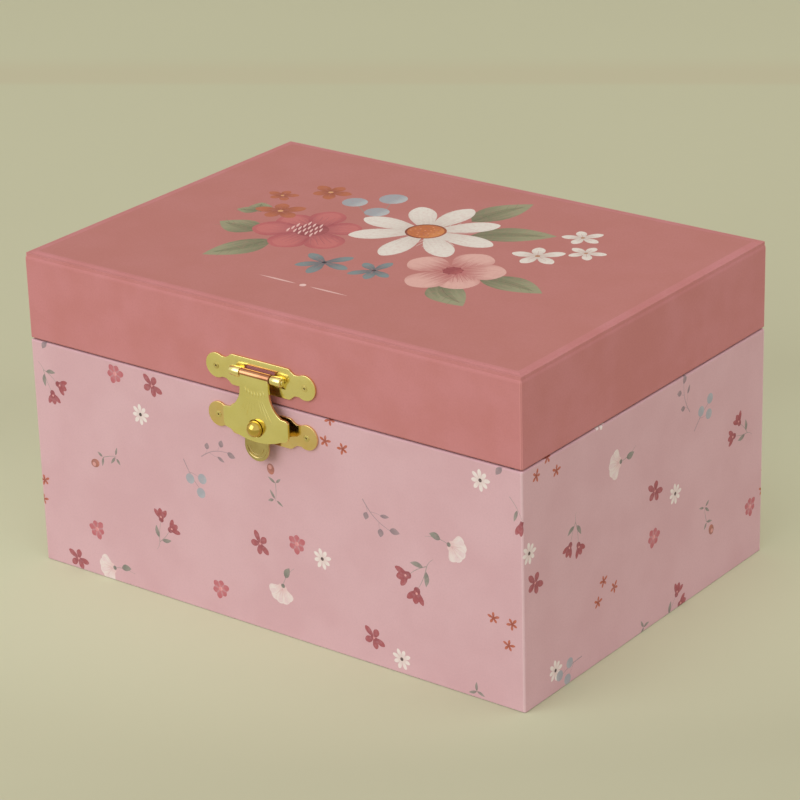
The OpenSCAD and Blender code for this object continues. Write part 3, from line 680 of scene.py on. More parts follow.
def tulip(brush):
    """A big white open flower with a calyx, a leaf and a stem."""
    brush.put(stem(6.5, 0.2, 0.5), STALK, 0.7, 158, (-0.3, 0))
    brush.put(leaf(3.5, 1.9, 0.2), SAGE, 0.95, 170, (-2.1, 0.3))
    for turn, length in ((40, 4.9), (-44, 5.2), (20, 5.5), (-22, 5.7), (0, 5.7)):
        outline = petal(length, 3.1, 0.4, 0.74, start=0.8)
        brush.put(outline, inks((232, 220, 213), (224, 188, 184)), 0.82, turn)
    for turn, length in ((-40, 5.0), (26, 5.2), (0, 5.4)):
        brush.put(petal(length, 1.5, 0.3, 0.8, start=2.4), inks((240, 230, 224)), 0.5, turn)
    for turn in (30, 10, -12, -32):
        brush.put(stem(3.2, 0.14), inks((216, 176, 172)), 0.55, turn, (1.2, 0))
    brush.put(circle(0.62, steps=9), SAGE, 0.95, 0, (0.4, 0))


def berries(brush):
    """Three grey-blue berries on thin stalks that meet."""
    brush.put(stem(9.6, 0.32, -0.5, 8), TWIG, 0.75)
    brush.put(stem(3.4, 0.18, 0.2), TWIG, 0.6, 38, (3.8, -0.3))
    brush.put(stem(2.6, 0.18, -0.1), TWIG, 0.6, -24, (2.8, -0.2))
    for at, turn in (((5.2, -1.4), 10), ((6.9, 2.4), 40), ((9.8, -0.5), 0)):
        brush.put(circle(1.42, steps=14), inks((160, 174, 178), (148, 162, 168)), 0.8, turn, at)


def sprig(brush):
    """A thin curved twig with three side shoots and four leaves."""
    brush.put(stem(9.6, 0.3, 0.95, 8), TWIG, 0.75)
    brush.put(stem(3.3, 0.16, -0.2), TWIG, 0.6, -32, (3.2, 0.8))
    brush.put(stem(2.3, 0.14, 0.2), TWIG, 0.55, 38, (6.3, 1.0))
    brush.put(stem(2.0, 0.14, -0.2), TWIG, 0.55, 46, (1.6, 0.6))
    brush.put(leaf(1.9, 1.5), MAUVE, 0.9, 62, (2.6, 1.7))
    brush.put(leaf(2.1, 1.6), MAUVE, 0.9, 58, (7.5, 1.7))
    brush.put(leaf(2.8, 1.6, -0.1), MAUVE, 0.9, -36, (9.2, 0.1))
    brush.put(leaf(2.5, 0.95), MAUVE, 0.9, -44, (5.5, -0.6))


def bud(brush):
    """A round rust bud above two small leaves, and three more at the foot of its stem."""
    brush.put(stem(5.0, 0.22, 0.2), STALK, 0.8, -4, (3.4, 1.2))
    for at, turn, length, width in (
        ((3.6, 1.2), -121, 2.7, 0.75), ((3.4, 1.4), 128, 2.0, 0.75), ((8.0, 0.7), -148, 2.8, 0.8),
        ((8.3, 1.2), 56, 2.4, 0.65), ((8.2, 0.3), -72, 2.0, 0.8)
    ):
        brush.put(leaf(length, width), SAGE, 0.9, turn, at)
    oval = [(1.5 * x, 1.2 * y) for x, y in circle(1, steps=14)]
    brush.put(oval, inks((180, 112, 90), (160, 100, 84)), 0.92)
    brush.put(circle(0.6, steps=10), inks((212, 130, 104)), 0.5, 0, (-0.5, -0.2))


def twig(brush):
    """Three small grey leaves."""
    for turn in (90, 200, -20):
        brush.put(leaf(2.6, 0.8, 0.1), SAGE, 0.9, turn)


# The scatter of small flowers: distance from the front left corner, height, turn, flipped, size.
# It covers the front and the right side, and repeats on the back and the left side.
SCATTER = (
    (bloom, (29, 60, 0), (87, 27, 20), (19, 13.5, 40), (61, 7.5, 10), (213, 24.5, 0), (260, 15, 30)),
    (pinwheel, (41.5, 59.5, 0), (75, 24, -20), (11.5, 3, 15), (110.5, 7.5, 0), (213.5, 37, 10)),
    (pinwheel, (160.7, 33, 0)),
    (daisy, (37, 50.5, 0), (95, 25, 10), (143.8, 58.5, 0), (119, 4, 20), (223, 32.7, 0), (169, 6, 0)),
    (daisy, (158.4, 41.7, 0), (189, 65.2, 0)),
    (star, (97.3, 57.5, 0), (102.7, 56.7, 30), (99, 63.6, 50), (147, 23.2, 10), (152.5, 23, 40)),
    (star, (151.4, 17, 0), (1.2, 23.3, 20), (0.2, 17.6, 0), (161.7, 60.5, 60), (170, 58.8, 0)),
    (star, (166.4, 63.5, 0), (190.2, 21.5, 20), (187.7, 16.7, 0), (195, 18, 45)),
    (bells, (3.7, 55.6, -53, True), (41.0, 15.6, 69), (127.4, 31.6, -126, False, 1.2), (178, 42.3, -93)),
    (bells, (258, 36.9, 155), (220, -1.3, 40)),
    (nodding_bell, (152.2, 56.4, 0)),
    (tulip, (82, 14.4, -104), (133.8, 39.4, -23, True), (24.8, 3.8, 200), (198.3, 50.8, 176, True)),
    (berries, (50.8, 41.5, -54), (231.8, 46.7, 38, True), (180.5, 5, 190)),
    (sprig, (56.9, 43.6, 19), (108.3, 44.8, -38, True, 1.12), (229.7, 52.7, 109)),
    (sprig, (150.3, 72.5, -92), (5, 73, -88)),
    (bud, (79.6, 45.7, -88), (20, 32.8, 20), (240.6, 15.9, 108)),
    (twig, (141.7, 1.8, 0), (208.5, 1.2, 30)),
)


def painted_corner_highlights(sheet, paint):
    """The folded upright edges of the paper, where a painted highlight makes its print a little lighter along each
    rounded corner.
    """
    for edge in (-2 * HALF_D, 0, 2 * HALF_W, HALF_ROUND):
        strip = [(-0.62, -30), (0.22, -30), (0.22, 130), (-0.62, 130)]
        # a thin light ink along the corner: painted highlight
        Brush(sheet, (edge, 0)).put(strip, paint, 0.55)


def lid_corner_highlights(sheet):
    # painted highlights along the lid's corners
    painted_corner_highlights(sheet, inks((214, 144, 140)))


def print_scatter(sheet):
    # painted highlights along the case's corners
    painted_corner_highlights(sheet, inks((228, 196, 198)))
    for motif, *spots in SCATTER:
        for s, z, turn, *more in spots:
            flip, size = (list(more) + [False, 1.0][len(more):])[:2]
            for repeat in (-HALF_ROUND, 0, HALF_ROUND):
                motif(Brush(sheet, (s + repeat, z), turn, size, flip))


LEAF = inks((146, 152, 118), (108, 118, 88))
OCHRE = inks((180, 104, 68), (146, 78, 54))
TEAL = inks((114, 140, 140), (86, 102, 106))
PEARL = inks((226, 217, 205), (206, 193, 181))
BLUSH = inks((220, 173, 161), (178, 104, 100))
BRICK = inks((186, 98, 98), (148, 62, 74))


def veined_leaf(sheet, base, turn, length, width, bow):
    """A broad leaf with a darker middle, a midrib and eight side veins."""
    brush = Brush(sheet, base, turn)
    brush.put(leaf(length, width, bow, 12), LEAF, 0.9)
    middle = leaf(length * 0.8, width * 0.3, bow, 8)
    brush.put(middle, inks((128, 134, 102), (108, 118, 88)), 0.92, 0, (length * 0.06, 0))
    brush.put(stem(length * 0.86, 0.35, bow, 8), inks((100, 108, 82)), 0.92)
    for share in [0.12 + 0.15 * k for k in range(1, 5)]:
        at = (length * share, bow * math.sin(math.pi * share))
        for side in (1, -1):
            brush.put(stem(width * 0.42, 0.18), inks((122, 130, 98)), 0.92, side * 38, at)


def small_flower(sheet, at, petals, width, paint, eye, cover=0.9):
    """A small open flower; petals are (turn, length)."""
    brush = Brush(sheet, at)
    for turn, length in petals:
        brush.put(petal(length, width, 0.3, 0.6), paint, cover, turn)
        brush.put(stem(length * 0.6, 0.22), (paint[1], paint[1]), 0.5, turn)
    brush.put(circle(width * 0.2, steps=8), inks(eye))


def star_flowers(sheet, places, shares, slim, paint, eye, cover=0.9):
    """Small flowers of five petals; places are (at, size, tilt), shares the petals' lengths."""
    for at, size, tilt in places:
        petals = [(72 * k + tilt, size * share) for k, share in enumerate(shares)]
        small_flower(sheet, at, petals, size * slim, paint, eye, cover)


def red_flower(sheet, at):
    """Six broad petals in two washes with fans of strokes, and pale stamens in rows."""
    brush = Brush(sheet, at)
    turns, lengths = (158, 103, 38, -33, -92, -155), (14, 15.2, 13.2, 15.4, 15, 16)
    for turn, length, width in zip(turns, lengths, (10, 10, 9.5, 11, 11, 11)):
        brush.put(petal(length, width, 0.35, 0.66, steps=12), BRICK, 0.88, turn)
        inner = petal(length * 0.93, width * 0.72, 0.2, 0.7, steps=10)
        brush.put(inner, inks((196, 108, 104), (148, 62, 74)), 0.75, turn)
        for fan in (-24, -14, -5, 5, 14, 24):
            stroke = stem(length * 0.72, 0.42, fan * 0.02)
            brush.put(stroke, inks((150, 62, 72)), 0.45, turn + fan, (1, 0))
    brush.put(circle(4.6, steps=18), inks((150, 70, 76), (136, 58, 66)), 0.8)
    for row in range(5):
        for k in range(3 if row in (0, 4) else 4):
            x, y = (row - 2) * 1.9 - 0.6, (k - 1.5) * 2.1 + 0.5 * (row % 2)
            pale = inks((240, 202, 192), (226, 176, 168))
            brush.put(leaf(3.2, 0.62, 0.15), pale, 0.9, 112, (x - 0.4, y - 1.3))


def big_daisy(sheet, at):
    """Eight long white petals round a seeded orange eye."""
    brush = Brush(sheet, at)
    turns = (90, 46, 0, -39, -87, -140, 180, 130)
    for turn, length in zip(turns, (20.8, 19.8, 21.2, 20.4, 20.8, 20.2, 20, 19.4)):
        brush.put(petal(length, 7.6, 0.5, 0.66, steps=12), PEARL, 0.97, turn)
        for fan in (-9, 0, 9):
            brush.put(stem(length * 0.5, 0.3, 0.1), inks((216, 205, 193)), 0.95, turn + fan, (4, 0))
    brush.put(circle(5.5, steps=24), inks((160, 88, 52), (128, 66, 44)), 0.97)
    brush.put(circle(4.9, steps=22), inks((208, 134, 76), (190, 110, 60)), 0.95)
    for k in range(26):
        turn = math.radians(k * 137.5)  # seeds stand a golden angle apart
        reach = 0.85 * math.sqrt(k) * 0.98
        seed = inks((228, 152, 92) if k % 2 else (168, 90, 50))
        brush.put(circle(0.3, steps=6), seed, 0.7, 0, (reach * math.cos(turn), reach * math.sin(turn)))


def blush_flower(sheet, at):
    """Five pale petals with fine strokes, round a dark eye with a ring of dots."""
    brush = Brush(sheet, at)
    for turn, length in ((88, 14), (25, 13.6), (-45, 13.2), (-101, 14.8), (176, 13.6)):
        brush.put(petal(length, 11, 0.22, 0.64, steps=12), BLUSH, 0.95, turn)
        for fan in (-20, -10, 0, 10, 20):
            stroke = stem(length * 0.55, 0.26, fan * 0.02)
            brush.put(stroke, inks((176, 98, 98)), 0.5, turn + fan, (1.6, 0))
    brush.put(circle(2.6, steps=14), inks((168, 86, 86), (150, 70, 74)), 0.9)
    for k in range(9):
        dot = (2.5 * math.cos(0.7 * k), 2.5 * math.sin(0.7 * k))
        brush.put(circle(0.34, steps=6), inks((140, 62, 66)), 1.0, 0, dot)


def print_bouquet(sheet):
    """The bouquet on the lid, back to front as it was painted, on a painted shade that makes the whole top a
    little darker than the sides.
    """
    # painted shade: a thin darker wash over the whole top
    Brush(sheet, (0, 0)).put(CORNERS, inks((179, 115, 104)), 0.6)
    for base, turn, length, width, bow in (
        ((6, 26), 74, 21, 10.5, 0.8), ((12, 17), 31, 22.5, 10.5, 1.0), ((32, -7), -2, 19.5, 9.5, 1.0),
        ((25.5, -14), -38, 18.5, 10, -1.6), ((-37, -8.5), 183, 13.5, 10, 0.4),
        ((-30, -13), -113, 20, 10, 0.8), ((-46, 2.5), 128, 7.5, 6.5, 0.3),
        ((-47, 3.5), 205, 6.5, 5, 0.3),
    ):
        veined_leaf(sheet, base, turn, length, width, bow)
    for at, radius in (((-22.3, 29.6), 3.9), ((-29.5, 22), 3.5), ((-19.7, 18.8), 3.4)):
        ahead = Vector((-16, 10)) - Vector(at)
        turn = math.degrees(math.atan2(ahead.y, ahead.x))
        Brush(sheet, at, turn).put(stem(ahead.length, 0.4, 0.8), STALK, 0.6)
        Brush(sheet, at).put(circle(radius, steps=18), inks((176, 190, 190), (154, 168, 172)), 0.85)
    red_flower(sheet, (-25.5, -1.7))
    places = (((-40, 25), 6.2, 12), ((-49.5, 16), 4.6, 30), ((-42, 5.8), 7, 50))
    star_flowers(sheet, places, (1, 0.85, 1.05, 0.8, 0.95), 0.58, OCHRE, (216, 160, 110))
    blush_flower(sheet, (23.5, -6.5))
    big_daisy(sheet, (0.3, 13.5))
    for at, width, petals in (
        ((-7.6, -19.2), 3.4, ((58, 8), (155, 8), (226, 7.6), (278, 8.6), (-8, 8.2))),
        ((6.6, -17.1), 3, ((85, 7), (150, 6.2), (-20, 6.4), (232, 7), (-72, 6.4))),
    ):
        small_flower(sheet, at, petals, width, TEAL, (52, 54, 62))
    places = (((37.4, 31.3), 5.6, 58), ((44.5, 22.1), 5.2, 20), ((35.3, 13.8), 7, 48))
    star_flowers(sheet, places, (1.05, 0.9, 1, 0.92, 1), 0.52, PEARL, (176, 128, 96), 0.97)
    for turn in (0, 180):  # two tapered strokes and a dot, in place of lettering
        Brush(sheet, (-2, -35), turn).put(leaf(12, 0.7), inks((226, 186, 178)), 0.85, 0, (2.2, 0))
    Brush(sheet, (-2, -35)).put(circle(0.9, steps=12), inks((232, 196, 188)), 0.9)


# ---- the wrapped boards ----


def on_wall(s, inset):
    """A point on the box's rounded outline, moved in by `inset`; s runs from the front left corner."""
    sides = (2 * HALF_W, 2 * HALF_D) * 2
    ways = ((1, 0), (0, 1), (-1, 0), (0, -1))
    s %= sum(sides)
    k = 0
    while s > sides[k]:
        s -= sides[k]
        k += 1
    start, way = Vector(CORNERS[k]), Vector(ways[k])
    out = Vector((way.y, -way.x))
    if CORNER <= s <= sides[k] - CORNER:
        half = sides[k] / 2
        along = half + (s - half) * (half - max(inset, CORNER)) / (half - CORNER)
        return start + way * along - out * inset
    near = s < CORNER
    centre = start + way * (CORNER if near else sides[k] - CORNER) - out * CORNER
    lean = -way if near else way
    if inset >= CORNER:
        return centre + (lean + out) * (CORNER - inset)
    share = (CORNER - s) / CORNER if near else (s - sides[k] + CORNER) / CORNER
    angle = math.radians(45 * share)
    return centre + (out * math.cos(angle) + lean * math.sin(angle)) * (CORNER - inset)


def profile_point(profile, v):
    """Inset and height where v is the distance along a profile of (v, inset, height)."""
    for (v0, d0, z0), (v1, d1, z1) in zip(profile, profile[1:]):
        if v <= v1 + 1e-6:
            t = max(0.0, (v - v0) / (v1 - v0))
            return d0 + (d1 - d0) * t, z0 + (z1 - z0) * t
    return profile[-1][1:]


def measured(points, first):
    """A cross-section of (inset, height) points with the distance along it put first."""
    rows, v = [], first
    for i, (d, z) in enumerate(points):
        if i:
            v += math.dist(points[i - 1], (d, z))
        rows.append((v, d, z))
    return rows


AROUND = 4 * (HALF_W + HALF_D)
UPRIGHTS = (0, 2 * HALF_W, HALF_ROUND, 4 * HALF_W + 2 * HALF_D)
CORNER_STEPS = [-1.3] + [i / 5 for i in range(-5, 6)] + [1.3]
SEAM = -2 * HALF_D - 12  # where the paper's ends meet, on the back


def wrap_strip(bm, profile, motifs, flute=0.0):
    """The paper round the four sides, from its seam to its seam again."""
    low, high = profile[0][0], profile[-1][0]
    sheet = Sheet([(SEAM, low), (SEAM + AROUND, low), (SEAM + AROUND, high), (SEAM, high)])
    for v, _, _ in profile[1:-1]:
        sheet.line((SEAM, v), (SEAM + AROUND, v))
    for upright in [e + turn for e in UPRIGHTS for turn in (-AROUND, 0, AROUND)]:
        for k in CORNER_STEPS:
            s = upright + k * CORNER
            if SEAM + 0.01 < s < SEAM + AROUND - 0.01:
                sheet.line((s, low), (s, high))
    motifs(sheet)

    def lift(s, v):
        inset, z = profile_point(profile, v)
        if flute and inset < CORNER:
            away = min(abs((s - e + AROUND / 2) % AROUND - AROUND / 2) for e in UPRIGHTS)
            inset += flute * max(0.0, 1 - away / (0.5 * CORNER))
        x, y = on_wall(s, inset)
        return Vector((x, y, z))

    sheet.fill(bm, lift)


def finished_wrap(bm, name, body, slot, *nodes):
    bmesh.ops.remove_doubles(bm, verts=bm.verts, dist=2e-7)
    bmesh.ops.dissolve_degenerate(bm, edges=bm.edges, dist=1e-8)
    bmesh.ops.recalc_face_normals(bm, faces=bm.faces)
    mesh = bpy.data.meshes.new(name)
    bm.to_mesh(mesh)
    bm.free()
    piece = place(name, mesh, body, slot, 40)
    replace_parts(piece, *nodes)
    return piece


def case_paper():
    low, high = CASE_LOW.z, CASE_HIGH.z
    points = [(PAPER, low), (0, low), (0, high - RIM_EDGE - BESIDE)]
    points += arc((RIM_EDGE, high - RIM_EDGE), RIM_EDGE, 180, 90, 6)
    points += [(RIM_EDGE + BESIDE, high), (FOLD, high), (FOLD, high - PAPER)]
    points += [(PAPER, high - PAPER), (PAPER, low)]
    bm = bmesh.new()
    wrap_strip(bm, measured(points, low - PAPER), print_scatter)
    return finished_wrap(bm, "case_printed_wrap", "case", "case_paper", "case_wrap")


def lid_paper():
    low, high = LID_LOW.z, LID_HIGH.z
    edge = LID_SHOULDER + 0.3
    points = [(PAPER, high - PAPER), (PAPER, low + PAPER), (FOLD, low + PAPER)]
    points += [(FOLD, low), (RIM_EDGE + BESIDE, low)]
    points += arc((RIM_EDGE, low + RIM_EDGE), RIM_EDGE, 270, 180, 6)
    points += [(0, low + RIM_EDGE + BESIDE), (0, high - LID_DROP - 0.2)]
    for turn in [math.radians(9 * step) for step in range(11)]:
        inset, drop = LID_SHOULDER * (1 - math.cos(turn)), LID_DROP * (1 - math.sin(turn))
        points.append((inset, high - drop))
    points.append((edge, high))
    bm = bmesh.new()
    wrap_strip(bm, measured(points, 0), lid_corner_highlights, flute=0.1)
    around = [SEAM] + [e + k * CORNER for e in (-2 * HALF_D,) + UPRIGHTS[:3] for k in CORNER_STEPS]
    for inset, z, motifs in ((edge, high, print_bouquet), (PAPER, high - PAPER, None)):
        ring = []
        for s in around:
            p = on_wall(s, inset)
            if not ring or min((p - q).length for q in ring) > 1e-4:
                ring.append(p)
        sheet = Sheet([tuple(p) for p in ring])
        if motifs:
            motifs(sheet)
        sheet.fill(bm, lambda x, y, z=z: Vector((x, y, z)))
    return finished_wrap(bm, "lid_printed_wrap", "lid", "lid_paper", "lid_wrap")


# ---- latch and hinges ----

PLATE, FLAP = 0.6, 0.65  # thickness of the plates, and of the flap
FRONT = -HALF_D - PLATE  # the front face of the latch's plates
NAIL_X = 14.0  # the latch's nails stand this far to each side
HINGE_X, HINGE_NAIL_X = 48, 5.5  # and the hinges, and the nails of one hinge from its middle
HEAD = 0.45  # how far a nail's head stands in from the front or the back of its CAD nail
LEAF_HALF, LEAF_ROUND, LEAF_NAIL = 9, 1.2, 3.75  # half width, corners, and nails from the far edge
PIN_R, ROLL_R = 0.6, 1.3  # inside and outside of a hinge's knuckles


def latch_plate(z, hole):
    """The outline that both plates share, and a faint ring round each nail head."""
    half = arc((8.6, z + 2.6), 1.5, 90, 35, 6) + [(10.9, z + 2.85)]
    half += arc((NAIL_X, z + 0.1), 3.3, 122, -122, 30)
    half += [(10.9, z - 2.75)] + arc((8.6, z - 2.6), 1.5, -35, -90, 6)
    solid = Solid().plate(mirrored(half), -HALF_D, PLATE, 0.1, [hole])
    ring = [(1.0, -0.02), (1.2, 0.04), (1.45, -0.02)]
    for x in (-NAIL_X, NAIL_X):
        solid.revolve(ring, (x, FRONT + 0.02, z), TO_FRONT, 24, closed=True)
    return solid


def catch_plate():
    low, high = box_mm("catch_plate")
    z = (low.z + high.z) / 2
    solid = latch_plate(z, circle(0.8, (0, z + 0.25), 16))
    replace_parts(solid.piece("catch_plate_stamped", "case", "latch_brass", "catch_brass"), "catch_plate")


def catch_knob():
    reach = FRONT - box_mm("catch_knob")[0].y
    ball = 2.15
    profile = [(0.8, -PLATE + 0.02), (0.8, 0), (1.7, 0), (1.75, 0.25), (1.35, 0.5)]
    profile += [(1.3, reach - 2 * ball + 0.6)] + arc((0, reach - ball), ball, -52, 90, 14)
    solid = Solid().revolve(profile, (0, FRONT, middle_of("catch_knob").z), TO_FRONT, 40)
    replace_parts(solid.piece("catch_knob_ball", "case", "latch_brass", "knob_brass", 50), "catch_knob")


def hasp_plate():
    pin = middle_of("hasp_pin")
    z = pin.z - 0.7
    solid = latch_plate(z, [(-4.75, z - 1), (4.75, z - 1), (4.75, z + 2.3), (-4.75, z + 2.3)])
    roll = [(0.66, 0.1), (0.95, 0.03), (1.15, 0.12), (1.25, 0.35)]
    roll += [(1.25, 2.95), (1.15, 3.18), (0.95, 3.27), (0.66, 3.2)]
    strap = [(FRONT + 0.1, pin.z - 2.4), (FRONT - 0.12, pin.z - 2.2), (pin.y + 0.5, pin.z - 1.15)]
    strap += [(pin.y + 0.2, pin.z - 0.6), (pin.y + 0.9, pin.z - 0.5), (FRONT + 0.1, pin.z - 0.6)]
    for x in (-8.1, 4.8):  # the two ears, rolled round the pin out of the plate
        solid.revolve(roll, (x, pin.y, pin.z), ALONG_X, 28, closed=True)
        solid.rings([[(x + dx, y, z) for y, z in strap] for dx in (0.05, 3.25)])
    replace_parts(solid.piece("hasp_plate_stamped", "lid", "latch_brass", "latch_brass"), "hasp_plate")
    rod = [(0.1, -0.12), (0.42, -0.05), (0.6, 0.15), (0.6, 16.45), (0.42, 16.65), (0.1, 16.72)]
    solid = Solid().revolve(rod, (box_mm("hasp_pin")[0].x, pin.y, pin.z), ALONG_X, 20)
    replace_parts(solid.piece("hasp_hinge_pin", "lid", "nail_brass", "latch_brass"), "hasp_pin")


def hasp_flap():
    """The flap with its rolled top, its relief, the knob's hole and the thumb tab."""
    pin = middle_of("hasp_pin")
    front = box_mm("hasp_flap")[0].y
    half = [(4.4, pin.z), (4.5, 68.2)] + arc((11.2, 67.4), 6.6, 178, 243, 14)
    half += arc((9.1, 60.4), 1.15, 60, 0, 6) + arc((8.6, 57.2), 1.65, 0, -60, 6)
    half += [(8.1, 55.5)] + arc((0, 73.2), 19.5, -67, -90, 12)
    hole = circle(2.3, (0, middle_of("catch_knob").z), 36)
    solid = Solid().plate(mirrored(half), front + FLAP, FLAP, 0.12, [hole])
    # the tab and its raised lines take a darker brass: painted shade under the flap
    tab = [(3.3, 54.7), (3.75, 54.0)] + arc((0, 52.4), 3.85, -2, -90, 16)
    solid.plate(mirrored(tab), front + FLAP - 0.02, FLAP - 0.16, 0.12, mark=1)
    # the rolled top takes a reddish brass: a painted reflection of the pink lid
    roll = [(0.66, 0), (1.12, 0), (1.25, 0.14), (1.25, 9.06), (1.12, 9.2), (0.66, 9.2)]
    solid.revolve(roll, (-4.6, pin.y, pin.z), ALONG_X, 28, closed=True, mark=2)
    rise = front - 0.02
    for x in range(-3, 4):  # embossed scallops under the hinge
        bends = (0, 0.35, 0.7, 1.05, 1.4)
        drop = 67.3 + 0.08 * x * x
        curl = [(x * 0.95 + 0.5 * math.sin(t), rise, drop - 1.1 * t) for t in bends]
        solid.tube(curl, [0.04, 0.1, 0.12, 0.1, 0.04], 6)
    for k in range(-4, 5):  # fine ribs that fan out below them
        top = Vector((k * 0.62, rise + 0.03, 65.2))
        foot = Vector((k * 1.35, rise + 0.03, 60.6 - 0.06 * k * k))
        rib = [top, top.lerp(foot, 0.35), top.lerp(foot, 0.7), foot]
        solid.tube(rib, [0.03, 0.08, 0.08, 0.03], 6)
    bow = arc((0, 0), 1, -176, -4, 22)  # two raised lines that follow the tab's edge
    for size, ends, wire, sides in ((1, 0.05, 0.15, 8), (0.72, 0.03, 0.09, 6)):
        line = [(size * 3.1 * x, rise + 0.13, 52.5 + size * 3.0 * z) for x, z in bow]
        solid.tube(line, [ends] + [wire] * 21 + [ends], sides, mark=1)
    looks = ["flap_brass", "tab_brass", "roll_brass"]
    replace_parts(solid.piece("hasp_flap_stamped", "hasp", "latch_brass", looks), "hasp_flap")


def nails():
    """Domed nail heads with their shanks, in the places of the CAD nails."""
    head = [(0.45, -2.2), (0.45, 0), (0.9, 0), (0.86, 0.1)]
    head += [(0.6, 0.17), (0.34, 0.19), (0.26, 0.08), (0.02, 0.04)]
    # a dark disc that fills the head's dimple: painted shade
    dimple_shade = [(0.25, 0.03), (0.24, 0.1), (0.02, 0.1)]
    for node, body, leaves, latch_z in (
        ("case_nails", "case", "case_hinge_leaves", middle_of("catch_plate").z),
        ("lid_nails", "lid", "lid_hinge_leaves", box_mm("hasp_pin")[0].z - 0.1),
    ):
        low, high = box_mm(node)
        leaf_low, leaf_high = box_mm(leaves)
        leaf_z = leaf_low.z + LEAF_NAIL if body == "case" else leaf_high.z - LEAF_NAIL
        solid = Solid()
        for x in (-NAIL_X, NAIL_X):
            solid.revolve(head, (x, low.y + HEAD, latch_z), TO_FRONT, 24)
            solid.revolve(dimple_shade, (x, low.y + HEAD, latch_z), TO_FRONT, 16, mark=1)
        middle = (leaf_low.x + leaf_high.x) / 2
        for x in [middle + side for side in (-HINGE_X, HINGE_X)]:
            for across in (-HINGE_NAIL_X, HINGE_NAIL_X):
                solid.revolve(head, (x + across, high.y - HEAD, leaf_z), TO_BACK, 24)
        piece = solid.piece(node + "_domed", body, "nail_brass", ["nail_brass", "punch_mark"], 30)
        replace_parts(piece, node)


def hinges():
    """Stamped leaves with rolled knuckles, and pins with domed ends."""
    axis = middle_of("hinge_pins")
    for node, body, knuckles, way in (
        ("case_hinge_leaves", "case", ((-9, 5.4), (3.6, 5.4)), -1),
        ("lid_hinge_leaves", "lid", ((-3.4, 6.8),), 1),
    ):
        low, high = box_mm(node)
        near, far = axis.z + way * 1.5, (low.z if way < 0 else high.z)
        solid = Solid(Matrix.Rotation(math.pi, 4, "Z"))
        for x in (HINGE_X, -HINGE_X):
            outline = [(x - LEAF_HALF, near), (x + LEAF_HALF, near)]
            inner, z = LEAF_HALF - LEAF_ROUND, far - way * LEAF_ROUND
            outline += arc((x + inner, z), LEAF_ROUND, 0, way * 90, 5)
            outline += arc((x - inner, z), LEAF_ROUND, way * 90, way * 180, 5)
            nail_holes = (x - HINGE_NAIL_X, x + HINGE_NAIL_X)
            holes = [circle(0.5, (at, (near + far) / 2), 12) for at in nail_holes]
            solid.plate(outline, -HALF_D, PLATE, 0.15, holes)
        solid.matrix = Matrix.Identity(4)
        lip = [(HALF_D + 0.02, near + way * 0.3), (HALF_D + 0.02, axis.z)]
        lip += [(HALF_D + 0.45, axis.z + way * 0.15), (HALF_D + PLATE, near - way * 0.2)]
        lip += [(HALF_D + PLATE, near + way * 0.3)]
        for x in [side + start for side in (-HINGE_X, HINGE_X) for start, _ in knuckles]:
            length = knuckles[0][1]
            curl = [(PIN_R, 0), (ROLL_R - 0.12, 0), (ROLL_R, 0.12), (ROLL_R, length - 0.12)]
            curl += [(ROLL_R - 0.12, length), (PIN_R, length)]
            solid.revolve(curl, (x, axis.y, axis.z), ALONG_X, 28, closed=True)
            solid.rings([[(x + dx, y, z) for y, z in lip] for dx in (0.04, length - 0.04)])
        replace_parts(solid.piece(node + "_rolled", body, "latch_brass", "latch_brass"), node)
    solid = Solid()
    rod = [(0.1, -0.1), (0.4, -0.04), (0.55, 0.15), (0.55, 17.85), (0.4, 18.04), (0.1, 18.1)]
    for x in (-HINGE_X, HINGE_X):
        solid.revolve(rod, (x - LEAF_HALF, axis.y, axis.z), ALONG_X, 20)
    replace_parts(solid.piece("hinge_pins_domed", "case", "nail_brass", "nail_brass", 50), "hinge_pins")


# ---- soft goods ----


def pillow(solid, low, high, crown, steps=(28, 20), pinch=0.5, mark=0):
    """A thin crowned pad: flat below, with rounded sides that pull in between its corners."""
    cx, cy = (low.x + high.x) / 2, (low.y + high.y) / 2
    hx, hy = (high.x - low.x) / 2, (high.y - low.y) / 2
    nx, ny = steps
    top, bottom = [], []
    for j in range(ny + 1):
        for i in range(nx + 1):
            u, v = math.sin(math.pi / 2 * (2 * i / nx - 1)), math.sin(math.pi / 2 * (2 * j / ny - 1))
            x = cx + hx * u - pinch * u * (1 - v * v)
            y = cy + hy * v - pinch * v * (1 - u * u)
            edge = (1 - abs(u) ** 7) * (1 - abs(v) ** 7)
            rise = (high.z - low.z - 0.3 - crown) * edge**0.35
            z = low.z + 0.3 + rise + crown * (1 - u * u) * (1 - v * v)
            z += 0.07 * math.sin(0.9 * x + 1.3 * math.sin(0.4 * y)) * math.sin(0.8 * y) * edge
            top.append((x, y, z))
            bottom.append((x, y, low.z + 0.02))
    row = nx + 1
    starts = [j * row + i for j in range(ny) for i in range(nx)]
    quads = [[c, c + 1, c + row + 1, c + row] for c in starts]
    n = len(top)
    rim = list(range(row)) + [j * row + nx for j in range(1, ny + 1)]
    rim += [ny * row + i for i in range(nx - 1, -1, -1)] + [j * row for j in range(ny - 1, 0, -1)]
    faces = quads + [[i + n for i in q[::-1]] for q in quads]
    faces += [[b, a, a + n, b + n] for a, b in zip(rim, rim[1:] + rim[:1])]
    solid.add(top + bottom, faces, mark)


def tray_pads():
    low, high = box_mm("tray_pads")
    side, front, cross = (box_mm(n) for n in ("side_divider", "front_divider", "cross_divider"))
    gap, tall = 0.3, 2
    solid = Solid()
    for start, end in (
        ((low.x, cross[1].y + gap, low.z), (side[0].x - gap, high.y, low.z + tall)),
        ((front[1].x + gap, low.y, high.z - tall), (high.x, cross[0].y - gap, high.z)),
    ):
        pillow(solid, Vector(start), Vector(end), 0.5)
    piece = solid.piece("tray_pads_velvet", "case", "velvet", "velvet", 60)
    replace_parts(piece, "tray_pads")


